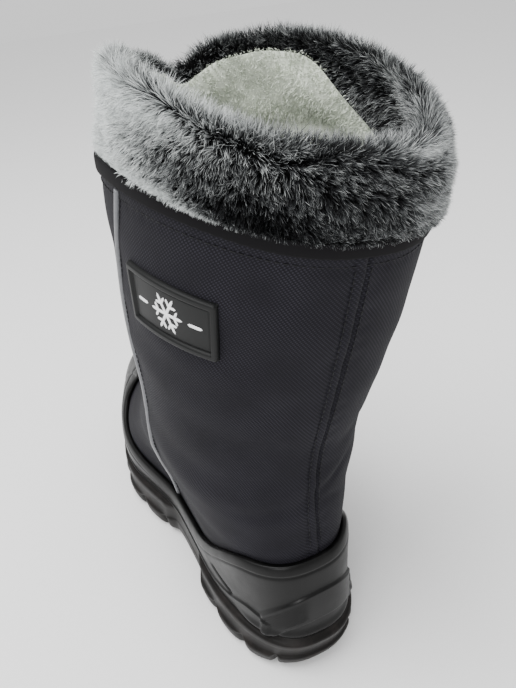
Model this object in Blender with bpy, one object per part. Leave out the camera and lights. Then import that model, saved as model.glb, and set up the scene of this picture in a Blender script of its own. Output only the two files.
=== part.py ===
"""Apres ski boot, left foot: a padded nylon shaft in a moulded rubber galosh with a fur cuff.

Metres, +Z up, +X towards the toe and +Y towards the wearer's left, which is the outer side.
The origin is the middle of the heel's flat face on the floor. Every piece is worked out from
one skin: the outer face of the shaft, as a grid of rows (heights) and columns (angles round
the boot). A row's height is nominal: the slope of the top edge and the toe spring are added.
"""

import math

import bpy
import numpy as np
from mathutils import Matrix, Vector

# Outsole
LENGTH = 0.300
HEEL_WIDTH = 0.092
WAIST_WIDTH = 0.082
BALL_WIDTH = 0.110
TOE_WIDTH = 0.102
SOLE_HEIGHT = 0.028
LEDGE = 0.0045
HEEL_CENTRE = 0.042
HEEL_TUCK = 0.009
TREAD_DEPTH = 0.007
GROOVE = 0.005
HEEL_BREAST = 0.082
BALL_START = 0.150
SPRING_START = 0.205
TOE_SPRING = 0.013
ARCH_LIFT = 0.006
ARCH_EASE = 2.5
ARCH_TUCK = 0.8
LANE = 0.0175

# Galosh
GALOSH_WALL = 0.005
GALOSH_LIP = 0.0022
LIP_ROUND = 0.010
BAND_HEIGHT = 0.017
BAND_RAISE = 0.0016
BAND_BEVEL = 0.0015
BAND_START = 0.50
BAND_EASE = 0.3

# Shaft, measured on its outer face
ANKLE_HEIGHT = 0.140
ANKLE_BACK = 0.0125
ANKLE_DEPTH = 0.149
ANKLE_WIDTH = 0.107
SHAFT_HEIGHT = 0.2745
TOP_BACK = -0.013
TOP_DEPTH = 0.166
TOP_WIDTH = 0.137
TOP_SHIFT = -0.015
TOP_SLOPE = 0.05
SLOPE_CENTRE = 0.070
OUTER_RISE = 0.009
SADDLE = -0.0045
TWIST = -0.004
SHAFT_WALL = 0.003

# Trim
BINDING_HEIGHT = 0.007
BINDING_WALL = 0.0015
CUFF_HEIGHT = 0.0345
CUFF_RISE = 0.006
CUFF_INNER_RISE = 0.004
INNER_PLACE = -0.75
CUFF_OUT = 0.0085
CUFF_IN = 0.0115
CUFF_LEAN = 0.003
TUCK_LEAN = 0.011
TUCK_THIN = 0.0065
TUCK_PLACE = 1.10
TUCK_WIDTH = 0.75
CUFF_DIP = 0.011
DIP_PLACE = 0.13
DIP_WIDTH = 0.18
LOCK_REACH = 0.0030
INSOLE_THICKNESS = 0.004
PIPING_WIDTH = 0.0032
PIPING_RAISE = 0.0016
PATCH_DROP = 0.0350
PATCH_HEIGHT = 0.0272
PATCH_RAISE = 0.0022
PATCH_BEVEL = 0.0012
PATCH_FRAME = 0.0030
PATCH_FIELD = 0.0012

GAP = 0.0003
COLUMNS = 56
FOOT_ROUNDNESS = 2.8
SHAFT_ROUNDNESS = 2.2
LEAN_START = 0.2

# The patch keeps its distance below the shaft's top edge.
PATCH_TOP = SHAFT_HEIGHT - PATCH_DROP
PATCH_BOTTOM = PATCH_TOP - PATCH_HEIGHT

# Height as a share of the way from ledge to ankle; front as a share of the way from the
# ankle's front to the toe; back and blend as shares of the ankle's set-in and width that the
# row has taken on; the rest as shares of the lasted half-widths.
FOOT_COLUMNS = ("height", "front", "back", "blend", "heel", "waist", "ball", "toe")
FOOT_ROWS = (
    (0.000, 0.980, 0.20, 0.00, 0.98, 0.97, 0.98, 0.97),
    (0.105, 1.000, 0.00, 0.00, 1.03, 1.03, 1.03, 1.03),
    (0.205, 0.992, 0.00, 0.03, 1.05, 1.06, 1.03, 1.00),
    (0.300, 0.940, 0.10, 0.09, 1.05, 1.10, 1.00, 0.93),
    (0.385, 0.825, 0.25, 0.18, 1.04, 1.13, 0.96, 0.86),
    (0.470, 0.660, 0.42, 0.30, 1.03, 1.15, 0.93, 0.84),
    (0.560, 0.480, 0.60, 0.45, 1.02, 1.15, 0.92, 0.86),
    (0.660, 0.310, 0.76, 0.62, 1.01, 1.12, 0.94, 0.92),
    (0.770, 0.175, 0.88, 0.80, 1.00, 1.06, 0.98, 0.98),
    (0.880, 0.080, 0.95, 0.92, 1.00, 1.03, 0.99, 0.99),
    (1.000, 0.020, 1.00, 1.00, 1.00, 1.00, 1.00, 1.00),
)
# Shares of the change from the ankle to the top edge.
SHAFT_COLUMNS = ("height", "back", "front", "width")
SHAFT_ROWS = (
    (0.00, 0.00, 0.00, 0.00),
    (0.12, 0.08, 0.60, 0.12),
    (0.35, 0.36, 0.90, 0.45),
    (0.70, 0.74, 1.00, 0.80),
    (1.00, 1.00, 1.00, 1.00),
)
# How far the sole's middle line swings to the outer side, as a share of the ball width, at
# shares of the length.
SWING_COLUMNS = ("length", "swing")
SWING_ROWS = ((0.0, 0.0), (0.25, 0.005), (0.45, 0.020), (0.68, 0.020), (1.0, -0.050))
# The galosh's rim, as a share of the ankle's height, from the back (-1) to the front (1).
RIM_COLUMNS = ("place", "height")
RIM_ROWS = (
    (-1.00, 0.608),
    (-0.86, 0.600),
    (-0.74, 0.545),
    (-0.60, 0.440),
    (-0.43, 0.345),
    (-0.20, 0.305),
    (0.10, 0.325),
    (0.45, 0.390),
    (0.80, 0.570),
    (1.00, 0.690),
)
# Outsole's side, as shares of its height and of the ledge beyond the galosh.
SIDE_COLUMNS = ("height", "reach")
SIDE_ROWS = ((0.00, 0.30), (0.14, 0.85), (0.40, 1.15), (0.46, 0.70), (0.90, 0.85), (1.00, 0.60))
# Grooves right across the tread, by distance from the heel's back as shares of the length. None
# of them runs under the origin, at HEEL_CENTRE, where the heel rests on its own flat face.
CROSS_GROOVES = (0.058, 0.128, 0.217, 0.505, 0.594, 0.690, 0.764, 0.838, 0.912)

# The fur's section: rise as a share of its height, reach as shares of how far it stands out
# (above nought) and in (below nought) from the shaft's edge.
CUFF_COLUMNS = ("rise", "reach")
CUFF_ROWS = (
    (0.00, 0.26),
    (0.10, 0.48),
    (0.32, 0.84),
    (0.58, 1.00),
    (0.80, 0.82),
    (0.95, 0.44),
    (1.00, 0.00),
    (0.96, -0.42),
    (0.82, -0.82),
    (0.58, -1.00),
    (0.32, -1.00),
    (0.10, -0.84),
    (0.00, -0.50),
)
# The side piping's way down the shaft: place in columns of the grid, 14 being the middle of
# the outer side, at heights as shares of the shaft's height.
PIPING_COLUMNS = ("height", "place")
PIPING_ROWS = ((0.23, 15.0), (0.40, 13.4), (0.55, 12.2), (0.69, 12.2), (0.84, 13.6), (0.97, 15.4))
# The patch's front and back edges, in columns of the grid.
PATCH_PLACES = (15.7, 21.9)

# The lasted widths hold at these shares of the length: heel twice, waist, ball, toe twice.
WIDTH_PLACES = (0.0, 0.14, 0.42, 0.68, 0.90, 1.0)
SKIN_HEIGHTS = (0.0, 0.105, 0.205, 0.300, 0.385, 0.470, 0.560, 0.660, 0.770, 0.880, 1.000)
SHAFT_HEIGHTS = (0.13, 0.28, 0.46, 0.64, 0.80, 0.907, 1.0)


def column(rows, names, name):
    """One named column of a table, as an array."""
    return np.array([row[names.index(name)] for row in rows])


def smooth(x, knots, values):
    """A curve through the points of a table that never overshoots them."""
    steps = np.diff(knots)
    slopes = np.diff(values) / steps
    same = slopes[1:] * slopes[:-1] > 0
    inner = np.where(same, 2 * slopes[1:] * slopes[:-1] / np.where(same, slopes[1:] + slopes[:-1], 1), 0)
    tangents = np.concatenate([[slopes[0]], inner, [slopes[-1]]])
    x = np.clip(x, knots[0], knots[-1])
    k = np.clip(np.searchsorted(knots, x, side="right") - 1, 0, len(steps) - 1)
    t = (x - knots[k]) / steps[k]
    return (
        values[k] * (1 + 2 * t) * (1 - t) ** 2
        + values[k + 1] * t * t * (3 - 2 * t)
        + steps[k] * (tangents[k] * t * (1 - t) ** 2 - tangents[k + 1] * t * t * (1 - t))
    )


def look_up(rows, names, x):
    """Every column of a table at x, which its first column holds."""
    knots = column(rows, names, names[0])
    return {name: smooth(x, knots, column(rows, names, name)) for name in names}


def ease(t):
    """Nought to one with a soft start and end."""
    t = np.clip(t, 0, 1)
    return t * t * (3 - 2 * t)


def spring_lift(x):
    """How far the toe spring lifts a point, by its distance from the heel's back."""
    return TOE_SPRING * np.clip((x - SPRING_START) / (LENGTH - SPRING_START), 0, None) ** 2


def arch_lift(x):
    """How far the arch lifts the tread between the heel and the ball."""
    middle = (HEEL_BREAST + BALL_START) / 2
    half = (BALL_START - HEEL_BREAST) / 2
    return ARCH_LIFT * ease((half - abs(x - middle)) / half * ARCH_EASE)


def section(height, share):
    """Back, front and half-width of the skin's level section, at shares of its length."""
    inset = LEDGE + GALOSH_WALL + GAP
    ankle_front = ANKLE_BACK + ANKLE_DEPTH
    climb = (height - SOLE_HEIGHT) / (ANKLE_HEIGHT - SOLE_HEIGHT)
    rows = look_up(FOOT_ROWS, FOOT_COLUMNS, climb)
    rise = (height - ANKLE_HEIGHT) / (SHAFT_HEIGHT - ANKLE_HEIGHT)
    tall = look_up(SHAFT_ROWS, SHAFT_COLUMNS, rise)
    back = inset + rows["back"] * (ANKLE_BACK - inset) + tall["back"] * (TOP_BACK - ANKLE_BACK)
    front = ankle_front + rows["front"] * (LENGTH - inset - ankle_front)
    front = front + tall["front"] * (TOP_BACK + TOP_DEPTH - ankle_front)
    upper = ANKLE_WIDTH / 2 + tall["width"] * (TOP_WIDTH - ANKLE_WIDTH) / 2
    lean = TOP_SHIFT * np.clip(rise + LEAN_START, 0, None)
    widths = {"heel": HEEL_WIDTH, "waist": WAIST_WIDTH, "ball": BALL_WIDTH, "toe": TOE_WIDTH}
    sizes = []
    for name, width in widths.items():
        lasted = rows[name] * (width / 2 - inset)
        sizes.append(lasted + rows["blend"] * (upper - lasted))
    values = np.array([sizes[0], sizes[0], sizes[1], sizes[2], sizes[3], sizes[3]])
    half = smooth(share, np.array(WIDTH_PLACES), values)
    power = FOOT_ROUNDNESS + rows["blend"] * (SHAFT_ROUNDNESS - FOOT_ROUNDNESS)
    oval = np.clip(1 - abs(2 * share - 1) ** power, 0, 1) ** (1 / power)
    swing = look_up(SWING_ROWS, SWING_COLUMNS, share)["swing"]
    middle = swing * BALL_WIDTH * (1 - rows["blend"]) + lean / (1 + LEAN_START)
    return back + (front - back) * share, half * oval, middle


def skin_point(height, angle):
    """The skin's outer face at a nominal height and an angle: 0 is the toe, pi the heel."""
    share = (1 + np.cos(angle)) / 2
    x, half, middle = section(height, share)
    y = middle + np.sign(np.round(np.sin(angle), 9)) * half
    grown = np.clip((height - ANKLE_HEIGHT) / (SHAFT_HEIGHT - ANKLE_HEIGHT), 0, 1)
    edge = OUTER_RISE * np.sin(angle) + SADDLE * np.cos(2 * angle) + TWIST * np.sin(2 * angle)
    edge = edge + TOP_SLOPE * (x - SLOPE_CENTRE)
    return np.stack([x, y, height + grown * edge + spring_lift(x)], axis=-1)


class Skin:
    """The grid that every piece is worked out from, with its outward normals."""

    def __init__(self):
        low = SOLE_HEIGHT + GAP
        foot = [low + share * (ANKLE_HEIGHT - low) for share in SKIN_HEIGHTS]
        tall = [ANKLE_HEIGHT + share * (SHAFT_HEIGHT - ANKLE_HEIGHT) for share in SHAFT_HEIGHTS]
        self.heights = np.array(foot + tall)
        self.angles = np.arange(COLUMNS) * 2 * math.pi / COLUMNS
        self.points = np.array([skin_point(height, self.angles) for height in self.heights])
        around = np.roll(self.points, -1, axis=1) - np.roll(self.points, 1, axis=1)
        upward = np.gradient(self.points, axis=0)
        normals = np.cross(around, upward)
        normals[[0, -1], :, 2] = 0
        self.normals = normals / np.linalg.norm(normals, axis=2, keepdims=True)

    def row(self, heights, off=0.0):
        """One ring of points at a height for each column, on the faces' own straight lines."""
        heights = np.broadcast_to(heights, COLUMNS)
        ring = self.at(heights, np.arange(COLUMNS), off)
        lowest = self.heights[0]
        return np.where((heights <= lowest)[:, None], self.flat_ring(off, lowest), ring)

    def at(self, heights, place, off=0.0):
        """Points at heights and at places counted in columns, off the skin along its normal."""
        heights, place, off = np.broadcast_arrays(np.asarray(heights, float), place, off)
        k = np.clip(np.searchsorted(self.heights, heights, side="right") - 1, 0, len(self.heights) - 2)
        up = ((heights - self.heights[k]) / (self.heights[k + 1] - self.heights[k]))[..., None]
        left = np.floor(place).astype(int)
        over = (place - left)[..., None]
        left, right = left % COLUMNS, (left + 1) % COLUMNS
        found = []
        for grid in (self.points, self.normals):
            start, end = grid[k, left], grid[k + 1, right]
            corner = np.where(up <= over, grid[k, right], grid[k + 1, left])
            first, second = np.maximum(up, over), np.minimum(up, over)
            found.append(start + (corner - start) * first + (end - corner) * second)
        return found[0] + found[1] * off[..., None]

    def flat_ring(self, off, height):
        """The sole's outline at an offset, laid level at a height and lifted by the spring."""
        ring = self.points[0] + self.normals[0] * np.broadcast_to(off, COLUMNS)[:, None]
        ring[:, 2] = height + spring_lift(ring[:, 0])
        return ring


def link_rings(rings, closed):
    """Points and triangles of rings joined in order, and round to the first if closed.

    Each cell is split from its lower corner to the next column's upper one, inside and out,
    so that two walls from the same grid keep their distance.
    """
    count = rings[0].shape[0]
    points = np.concatenate(rings)
    i = np.arange(count)
    after = (i + 1) % count
    faces = []
    for k in range(len(rings) if closed else len(rings) - 1):
        a, b = k * count, (k + 1) % len(rings) * count
        if points[a:a + count, 2].mean() <= points[b:b + count, 2].mean():
            pairs = ((a + i, a + after, b + after), (a + i, b + after, b + i))
        else:
            pairs = ((a + i, a + after, b + i), (a + after, b + after, b + i))
        faces += [np.stack(corners, axis=1) for corners in pairs]
    return points, np.concatenate(faces)


def cap(start, count, outward):
    """Faces across a ring that is the same on both sides of its long axis."""
    half = count // 2
    faces = [(start, start + 1, start + count - 1)]
    for k in range(1, half - 1):
        faces.append((start + k, start + k + 1, start + count - k - 1, start + count - k))
    faces.append((start + half - 1, start + half, start + half + 1))
    return faces if outward else [face[::-1] for face in faces]


def new_object(name, points, faces, finish):
    """An object of the given points, with doubled ones merged, moved to the heel's centre."""
    points = np.asarray(points) - (HEEL_CENTRE, 0, 0)
    _, first, index = np.unique(np.round(points * 1e7), axis=0, return_index=True, return_inverse=True)
    index = index.reshape(-1)
    kept = []
    for face in faces:
        corners = [int(index[v]) for v in face]
        corners = [v for k, v in enumerate(corners) if v != corners[k - 1]]
        if len(set(corners)) == len(corners) > 2:
            kept.append(corners)
    mesh = bpy.data.meshes.new(name)
    mesh.from_pydata([tuple(p) for p in points[first]], [], kept)
    mesh.shade_smooth()
    mesh.set_sharp_from_angle(angle=math.radians(35))
    mesh.materials.append(finish)
    obj = bpy.data.objects.new(name, mesh)
    bpy.context.collection.objects.link(obj)
    return obj


def finish(name, colour, roughness):
    """A plain material of one colour."""
    material = bpy.data.materials.new(name)
    material.use_nodes = True
    shader = material.node_tree.nodes["Principled BSDF"]
    shader.inputs["Base Color"].default_value = (*colour, 1)
    shader.inputs["Roughness"].default_value = roughness
    return material


def cut_box(obj, name, centre, size, turn):
    """A box, turned about Z, that a Boolean takes out of an object."""
    mesh = bpy.data.meshes.new(name)
    corners = [(x, y, z) for x in (-0.5, 0.5) for y in (-0.5, 0.5) for z in (-0.5, 0.5)]
    sides = [(0, 1, 3, 2), (4, 6, 7, 5), (0, 4, 5, 1), (2, 3, 7, 6), (0, 2, 6, 4), (1, 5, 7, 3)]
    mesh.from_pydata(corners, [], sides)
    mesh.transform(Matrix.Diagonal((*size, 1)))
    cutter = bpy.data.objects.new(name, mesh)
    bpy.context.collection.objects.link(cutter)
    cutter.location = Vector(centre) - Vector((HEEL_CENTRE, 0, 0))
    cutter.rotation_euler.z = turn
    cutter.hide_render = True
    cutter.display_type = "WIRE"
    cut = obj.modifiers.new(name, "BOOLEAN")
    cut.operation = "DIFFERENCE"
    cut.object = cutter


def build_outsole(skin):
    """The lugged sole: a stepped side, arch and toe spring, with grooves cut in the tread."""
    rings = []
    tuck = 1 - ARCH_TUCK * arch_lift(skin.points[0, :, 0]) / ARCH_LIFT
    for share, reach in SIDE_ROWS:
        ring = skin.flat_ring(GAP + GALOSH_WALL + reach * LEDGE * tuck, share * SOLE_HEIGHT)
        ring[:, 2] += (1 - share) * arch_lift(ring[:, 0])
        ring[:, 0] += (1 - share) * HEEL_TUCK * ease(1 - ring[:, 0] / HEEL_CENTRE)
        rings.append(ring)
    points, faces = link_rings(rings, closed=False)
    faces = [tuple(face) for face in faces]
    faces += cap(0, COLUMNS, outward=False) + cap((len(rings) - 1) * COLUMNS, COLUMNS, outward=True)
    sole = new_object("outsole", points, faces, finish("moulded_rubber", (0.018, 0.018, 0.019), 0.55))
    reach = TREAD_DEPTH + 0.02
    for k, share in enumerate(CROSS_GROOVES):
        x = share * LENGTH
        top = TREAD_DEPTH + spring_lift(x) + arch_lift(x)
        cut_box(sole, f"cross_groove_{k}", (x, 0, top - reach / 2), (GROOVE, 2 * BALL_WIDTH, reach), 0)
    lanes = (("heel", 0.0, HEEL_BREAST), ("ball", BALL_START, SPRING_START + 0.035))
    for name, start, end in lanes:
        for side in (-1, 1):
            centre = ((start + end) / 2, side * LANE, TREAD_DEPTH * 0.8 - reach / 2)
            cut_box(sole, f"long_groove_{name}_{side}", centre, (end - start, GROOVE, reach), 0)
    return sole


def rim_height(angles):
    """The nominal height of the galosh's rim at angles round the boot."""
    return ANKLE_HEIGHT * look_up(RIM_ROWS, RIM_COLUMNS, np.cos(angles))["height"]


def build_galosh(skin):
    """The moulded foot shell: a rounded lip at its rim and a raised band round the heel."""
    places = np.cos(skin.angles)
    rim = rim_height(skin.angles)
    bottom = skin.heights[0]
    band = bottom + BAND_HEIGHT * ease((-places - BAND_START) / BAND_EASE)
    levels = [bottom, band - BAND_BEVEL, band]
    levels += [height for height in skin.heights if bottom < height < ANKLE_HEIGHT]
    raise_ = [BAND_RAISE, BAND_RAISE, 0.0] + [0.0] * (len(levels) - 3)
    outer = []
    for level, lift in zip(levels, raise_):
        height = np.clip(level, bottom, rim - LIP_ROUND)
        if lift == 0.0:
            height = np.maximum(height, band)
        outer.append(skin.row(height, GAP + GALOSH_WALL + lift * (band > bottom + 2 * BAND_BEVEL)))
    for share in (0.5, 0.8, 1.0):
        height = rim - LIP_ROUND * (1 - share)
        wall = GALOSH_LIP + (GALOSH_WALL - GALOSH_LIP) * math.sqrt(1 - share * share)
        outer.append(skin.row(height, GAP + wall))
    heights = [height for height in skin.heights[::-1] if height < ANKLE_HEIGHT]
    inner = [skin.row(np.minimum(height, rim), 1.5 * GAP) for height in heights]
    points, faces = link_rings(outer + inner, closed=True)
    return new_object("galosh", points, faces, finish("foam_rubber", (0.022, 0.022, 0.024), 0.45))


def build_shaft(skin):
    """The padded nylon upper: one wall from the sole to the top edge, open at both ends."""
    outer = list(skin.points)
    inner = [skin.row(height, -SHAFT_WALL) for height in skin.heights[::-1]]
    points, faces = link_rings(outer + inner, closed=True)
    return new_object("shaft", points, faces, finish("padded_nylon", (0.032, 0.030, 0.036), 0.85))


def build_insole(skin):
    """The removable footbed, on the sole inside the shaft."""
    inset = -SHAFT_WALL - 2 * GAP
    low, high = SOLE_HEIGHT + GAP, SOLE_HEIGHT + GAP + INSOLE_THICKNESS
    rings = [skin.flat_ring(inset, low), skin.flat_ring(inset, high)]
    points, faces = link_rings(rings, closed=False)
    faces = [tuple(face) for face in faces]
    faces += cap(0, COLUMNS, outward=False) + cap(COLUMNS, COLUMNS, outward=True)
    return new_object("insole", points, faces, finish("felt", (0.55, 0.56, 0.52), 0.95))


def build_binding(skin):
    """The ribbed tape round the shaft's top edge."""
    bottom, top = SHAFT_HEIGHT - BINDING_HEIGHT, SHAFT_HEIGHT
    bevel = BINDING_WALL / 2
    outer = [
        skin.row(bottom, GAP + bevel),
        skin.row(bottom + bevel, GAP + BINDING_WALL),
        skin.row(top - bevel, GAP + BINDING_WALL),
        skin.row(top, GAP + bevel),
    ]
    inner = [skin.row(top, GAP), skin.row(bottom, GAP)]
    points, faces = link_rings(outer + inner, closed=True)
    return new_object("rim_binding", points, faces, finish("ribbed_tape", (0.018, 0.017, 0.020), 0.80))


def swell(turn, place, width):
    """A soft hump round one angle of the boot, one high."""
    return np.exp(-(((turn - place) / width) ** 2))


def build_cuff(skin):
    """The fur collar: a thick ring on the top edge, with staggered locks drawn out of it."""
    count = 2 * COLUMNS
    place = np.arange(count) / 2
    edge = skin.at(np.full(count, SHAFT_HEIGHT), place)
    level = skin.at(np.full(count, SHAFT_HEIGHT), place, 1.0) - edge
    level[:, 2] = 0
    level /= np.linalg.norm(level, axis=1, keepdims=True)
    turn = np.angle(np.exp(1j * place * 2 * math.pi / COLUMNS))
    tall = CUFF_HEIGHT + CUFF_RISE * (1 + np.cos(turn)) / 2
    tall = tall + CUFF_INNER_RISE * swell(turn, INNER_PLACE, TUCK_WIDTH)
    tall = tall - CUFF_DIP * swell(turn, DIP_PLACE, DIP_WIDTH)
    tuck = swell(turn, TUCK_PLACE, TUCK_WIDTH)
    lean = CUFF_LEAN + TUCK_LEAN * tuck
    rings = []
    for k, (rise, reach) in enumerate(CUFF_ROWS):
        lock = np.where((np.arange(count) + k // 2) % 2 == 0, LOCK_REACH, 0.0) * (k % 2) * (1 - tuck / 2)
        out = (CUFF_OUT - TUCK_THIN * tuck if reach > 0 else CUFF_IN) * reach
        ring = edge + level * (out + lock * reach - lean * rise ** 0.5)[:, None]
        ring[:, 2] += GAP + tall * rise + lock * (rise > 0.5)
        rings.append(ring)
    points, faces = link_rings(rings, closed=True)
    faces = [tuple(face) for face in faces]
    return new_object("fur_cuff", points, faces, finish("long_fur", (0.12, 0.12, 0.125), 0.95))


def column_width(skin, height, place):
    """The distance between two columns of the grid, round a point of the skin."""
    return np.linalg.norm(skin.at(height, place + 0.5) - skin.at(height, place - 0.5))


def build_piping(skin, name, mirrored):
    """The reflective piping down one side, from under the binding to the galosh's rim."""
    way = column(PIPING_ROWS, PIPING_COLUMNS, "height"), column(PIPING_ROWS, PIPING_COLUMNS, "place")
    low = rim_height(way[1][:1] * 2 * math.pi / COLUMNS)[0] + 4 * GAP
    high = SHAFT_HEIGHT - BINDING_HEIGHT - GAP
    levels = [low] + [height for height in skin.heights if low < height < high] + [high]
    levels = np.interp(np.arange(2 * len(levels) - 1) / 2, np.arange(len(levels)), levels)
    places = smooth(levels / SHAFT_HEIGHT, *way)
    off = GAP + PIPING_RAISE * np.array([0.0, 0.6, 1.0, 1.0, 0.6, 0.0])
    across = np.array([-0.5, -0.5, -0.25, 0.25, 0.5, 0.5]) * PIPING_WIDTH
    rings = []
    for height, place in zip(levels, places):
        spread = place + across / column_width(skin, height, place)
        rings.append(skin.at(height, COLUMNS - spread[::-1] if mirrored else spread, off))
    points, faces = link_rings(rings, closed=False)
    faces = [tuple(face) for face in faces]
    count, last = len(off), (len(rings) - 1) * len(off)
    faces += [tuple(range(count))[::-1], tuple(range(last, last + count))]
    return new_object(name, points, faces, finish("reflective_piping", (0.42, 0.43, 0.45), 0.35))


def build_patch(skin):
    """The moulded plate on the outer side: a bevelled frame round a sunk, bare field."""
    wide = column_width(skin, (PATCH_BOTTOM + PATCH_TOP) / 2, sum(PATCH_PLACES) / 2)
    steps = np.array([0.0, PATCH_BEVEL, PATCH_FRAME, PATCH_FRAME + PATCH_BEVEL])
    depth = (PATCH_RAISE - PATCH_BEVEL, PATCH_RAISE, PATCH_RAISE, PATCH_FIELD)
    low, high = PATCH_BOTTOM + 2 * steps[3], PATCH_TOP - 2 * steps[3]
    rows = [height for height in skin.heights if low < height < high]
    heights = np.concatenate([PATCH_BOTTOM + steps, rows, PATCH_TOP - steps[::-1]])
    start, end = PATCH_PLACES
    middle = np.arange(math.ceil(start + steps[3] / wide), math.floor(end - steps[3] / wide) + 1)
    places = np.concatenate([start + steps / wide, middle, end - steps[::-1] / wide])
    step_rows, step_columns = (
        np.minimum(np.arange(size), np.arange(size)[::-1]).clip(max=3) for size in (len(heights), len(places))
    )
    lift = GAP + np.array(depth)[np.minimum(step_rows[:, None], step_columns[None, :])]
    grid = np.meshgrid(heights, places, indexing="ij")
    top, under = skin.at(*grid, lift), skin.at(*grid, GAP)
    count = top.shape[0] * top.shape[1]
    number = np.arange(count).reshape(lift.shape)
    corners = (number[:-1, :-1], number[:-1, 1:], number[1:, 1:], number[1:, :-1])
    quads = np.stack([corner.reshape(-1) for corner in corners], axis=1)
    faces = [tuple(quad) for quad in quads] + [tuple(quad[::-1]) for quad in quads + count]
    rim = [*number[0, :-1], *number[:-1, -1], *number[-1, :0:-1], *number[:0:-1, 0]]
    faces += [(b, a, a + count, b + count) for a, b in zip(rim, rim[1:] + rim[:1])]
    points = np.concatenate([top.reshape(-1, 3), under.reshape(-1, 3)])
    return new_object("side_patch", points, faces, finish("moulded_plate", (0.030, 0.030, 0.034), 0.60))


def main():
    for obj in list(bpy.data.objects):
        bpy.data.objects.remove(obj)
    skin = Skin()
    build_outsole(skin)
    build_galosh(skin)
    build_shaft(skin)
    build_insole(skin)
    build_binding(skin)
    build_cuff(skin)
    build_piping(skin, "piping_lateral", mirrored=False)
    build_piping(skin, "piping_medial", mirrored=True)
    build_patch(skin)


main()
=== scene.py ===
"""Apres ski boot, left foot, seen from behind and above in plain studio light.

Metres, +Z up, +X towards the toe, +Y towards the outer side; the origin is the middle of the
heel's flat face. The shaft, galosh, binding, piping, plate, lining and fur all follow one form:
a point for each height and angle round the boot, given by BootForm from the boot's own sizes.
"""

import logging
import math
from dataclasses import dataclass
from enum import Enum

import bmesh
import bpy
import numpy as np
from mathutils import Matrix, Vector


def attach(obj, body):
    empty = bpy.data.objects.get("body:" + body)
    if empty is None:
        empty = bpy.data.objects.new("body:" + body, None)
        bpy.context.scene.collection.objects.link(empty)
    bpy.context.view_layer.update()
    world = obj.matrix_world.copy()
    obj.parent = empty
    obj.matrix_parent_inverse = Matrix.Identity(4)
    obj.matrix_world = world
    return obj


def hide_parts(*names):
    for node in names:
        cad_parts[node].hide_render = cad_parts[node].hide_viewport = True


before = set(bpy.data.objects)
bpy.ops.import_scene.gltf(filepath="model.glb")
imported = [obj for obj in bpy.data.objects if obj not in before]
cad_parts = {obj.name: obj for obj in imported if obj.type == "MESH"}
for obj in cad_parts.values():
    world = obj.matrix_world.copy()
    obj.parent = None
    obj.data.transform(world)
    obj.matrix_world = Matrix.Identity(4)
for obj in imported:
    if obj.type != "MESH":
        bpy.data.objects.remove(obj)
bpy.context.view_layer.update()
log = logging.getLogger("boot")

MM = 0.001
FULL_TURN = 2 * math.pi
COLUMNS = 56
GAP = 0.3 * MM
LINING_HAIRS = 42000
FUR_HAIRS = 52000
# The part of the collar's section that each piece of fur stands on, from the outer bottom.
FUR_SPANS = {"fur_low": (-0.04, 0.20), "fur_side": (0.18, 0.40), "fur_crest": (0.38, 0.85)}


def linear(hex_colour: str, alpha: float = 1.0) -> tuple[float, float, float, float]:
    """Turns an sRGB hex colour to linear.

    Args:
        hex_colour: Six hex digits, with or without a leading hash.
        alpha: The fourth value.

    Returns:
        Red, green, blue and alpha.
    """
    parts = [int(hex_colour.strip("#")[k:k + 2], 16) / 255 for k in (0, 2, 4)]
    parts = [c / 12.92 if c <= 0.04045 else ((c + 0.055) / 1.055) ** 2.4 for c in parts]
    return (*parts, alpha)


def smooth(x: np.ndarray, knots: tuple, values: np.ndarray) -> np.ndarray:
    """A curve through a table's points that never overshoots them.

    It is a cubic in each step, whose end slopes are the harmonic mean of the slopes beside them.

    Args:
        x: Where the curve is read, of any shape.
        knots: Rising places of the table's points.
        values: One number a knot, or one array of x's shape a knot.

    Returns:
        The curve's values, of x's shape.
    """
    x = np.asarray(x, float)
    knots = np.asarray(knots, float)
    values = np.asarray(values, float)
    if values.ndim == 1:
        values = values.reshape(-1, *[1] * x.ndim)
    values = np.broadcast_to(values, (len(knots), *x.shape))
    steps = np.diff(knots).reshape(-1, *[1] * x.ndim)
    slopes = np.diff(values, axis=0) / steps
    same = slopes[1:] * slopes[:-1] > 0
    total = np.where(same, slopes[1:] + slopes[:-1], 1)
    inner = np.where(same, 2 * slopes[1:] * slopes[:-1] / total, 0)
    tangents = np.concatenate([slopes[:1], inner, slopes[-1:]])
    x = np.clip(x, knots[0], knots[-1])
    k = np.clip(np.searchsorted(knots, x, side="right") - 1, 0, len(knots) - 2)
    step = np.diff(knots)[k]
    t = (x - knots[k]) / step

    def pick(table: np.ndarray, index: np.ndarray) -> np.ndarray:
        """The table's entry for each point's own knot."""
        return np.take_along_axis(table, index[None], axis=0)[0]

    return (
        pick(values, k) * (1 + 2 * t) * (1 - t) ** 2
        + pick(values, k + 1) * t * t * (3 - 2 * t)
        + step * (pick(tangents, k) * t * (1 - t) ** 2 - pick(tangents, k + 1) * t * t * (1 - t))
    )


def ease(t: np.ndarray) -> np.ndarray:
    """Nought to one with a soft start and end: three t squared less two t cubed."""
    t = np.clip(t, 0, 1)
    return t * t * (3 - 2 * t)


def swell(x: np.ndarray, place: float, width: float) -> np.ndarray:
    """A bell round one place, one high."""
    return np.exp(-(((x - place) / width) ** 2))


def unit(vectors: np.ndarray) -> np.ndarray:
    """The vectors, each one long."""
    return vectors / np.maximum(np.linalg.norm(vectors, axis=-1, keepdims=True), 1e-12)


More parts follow.
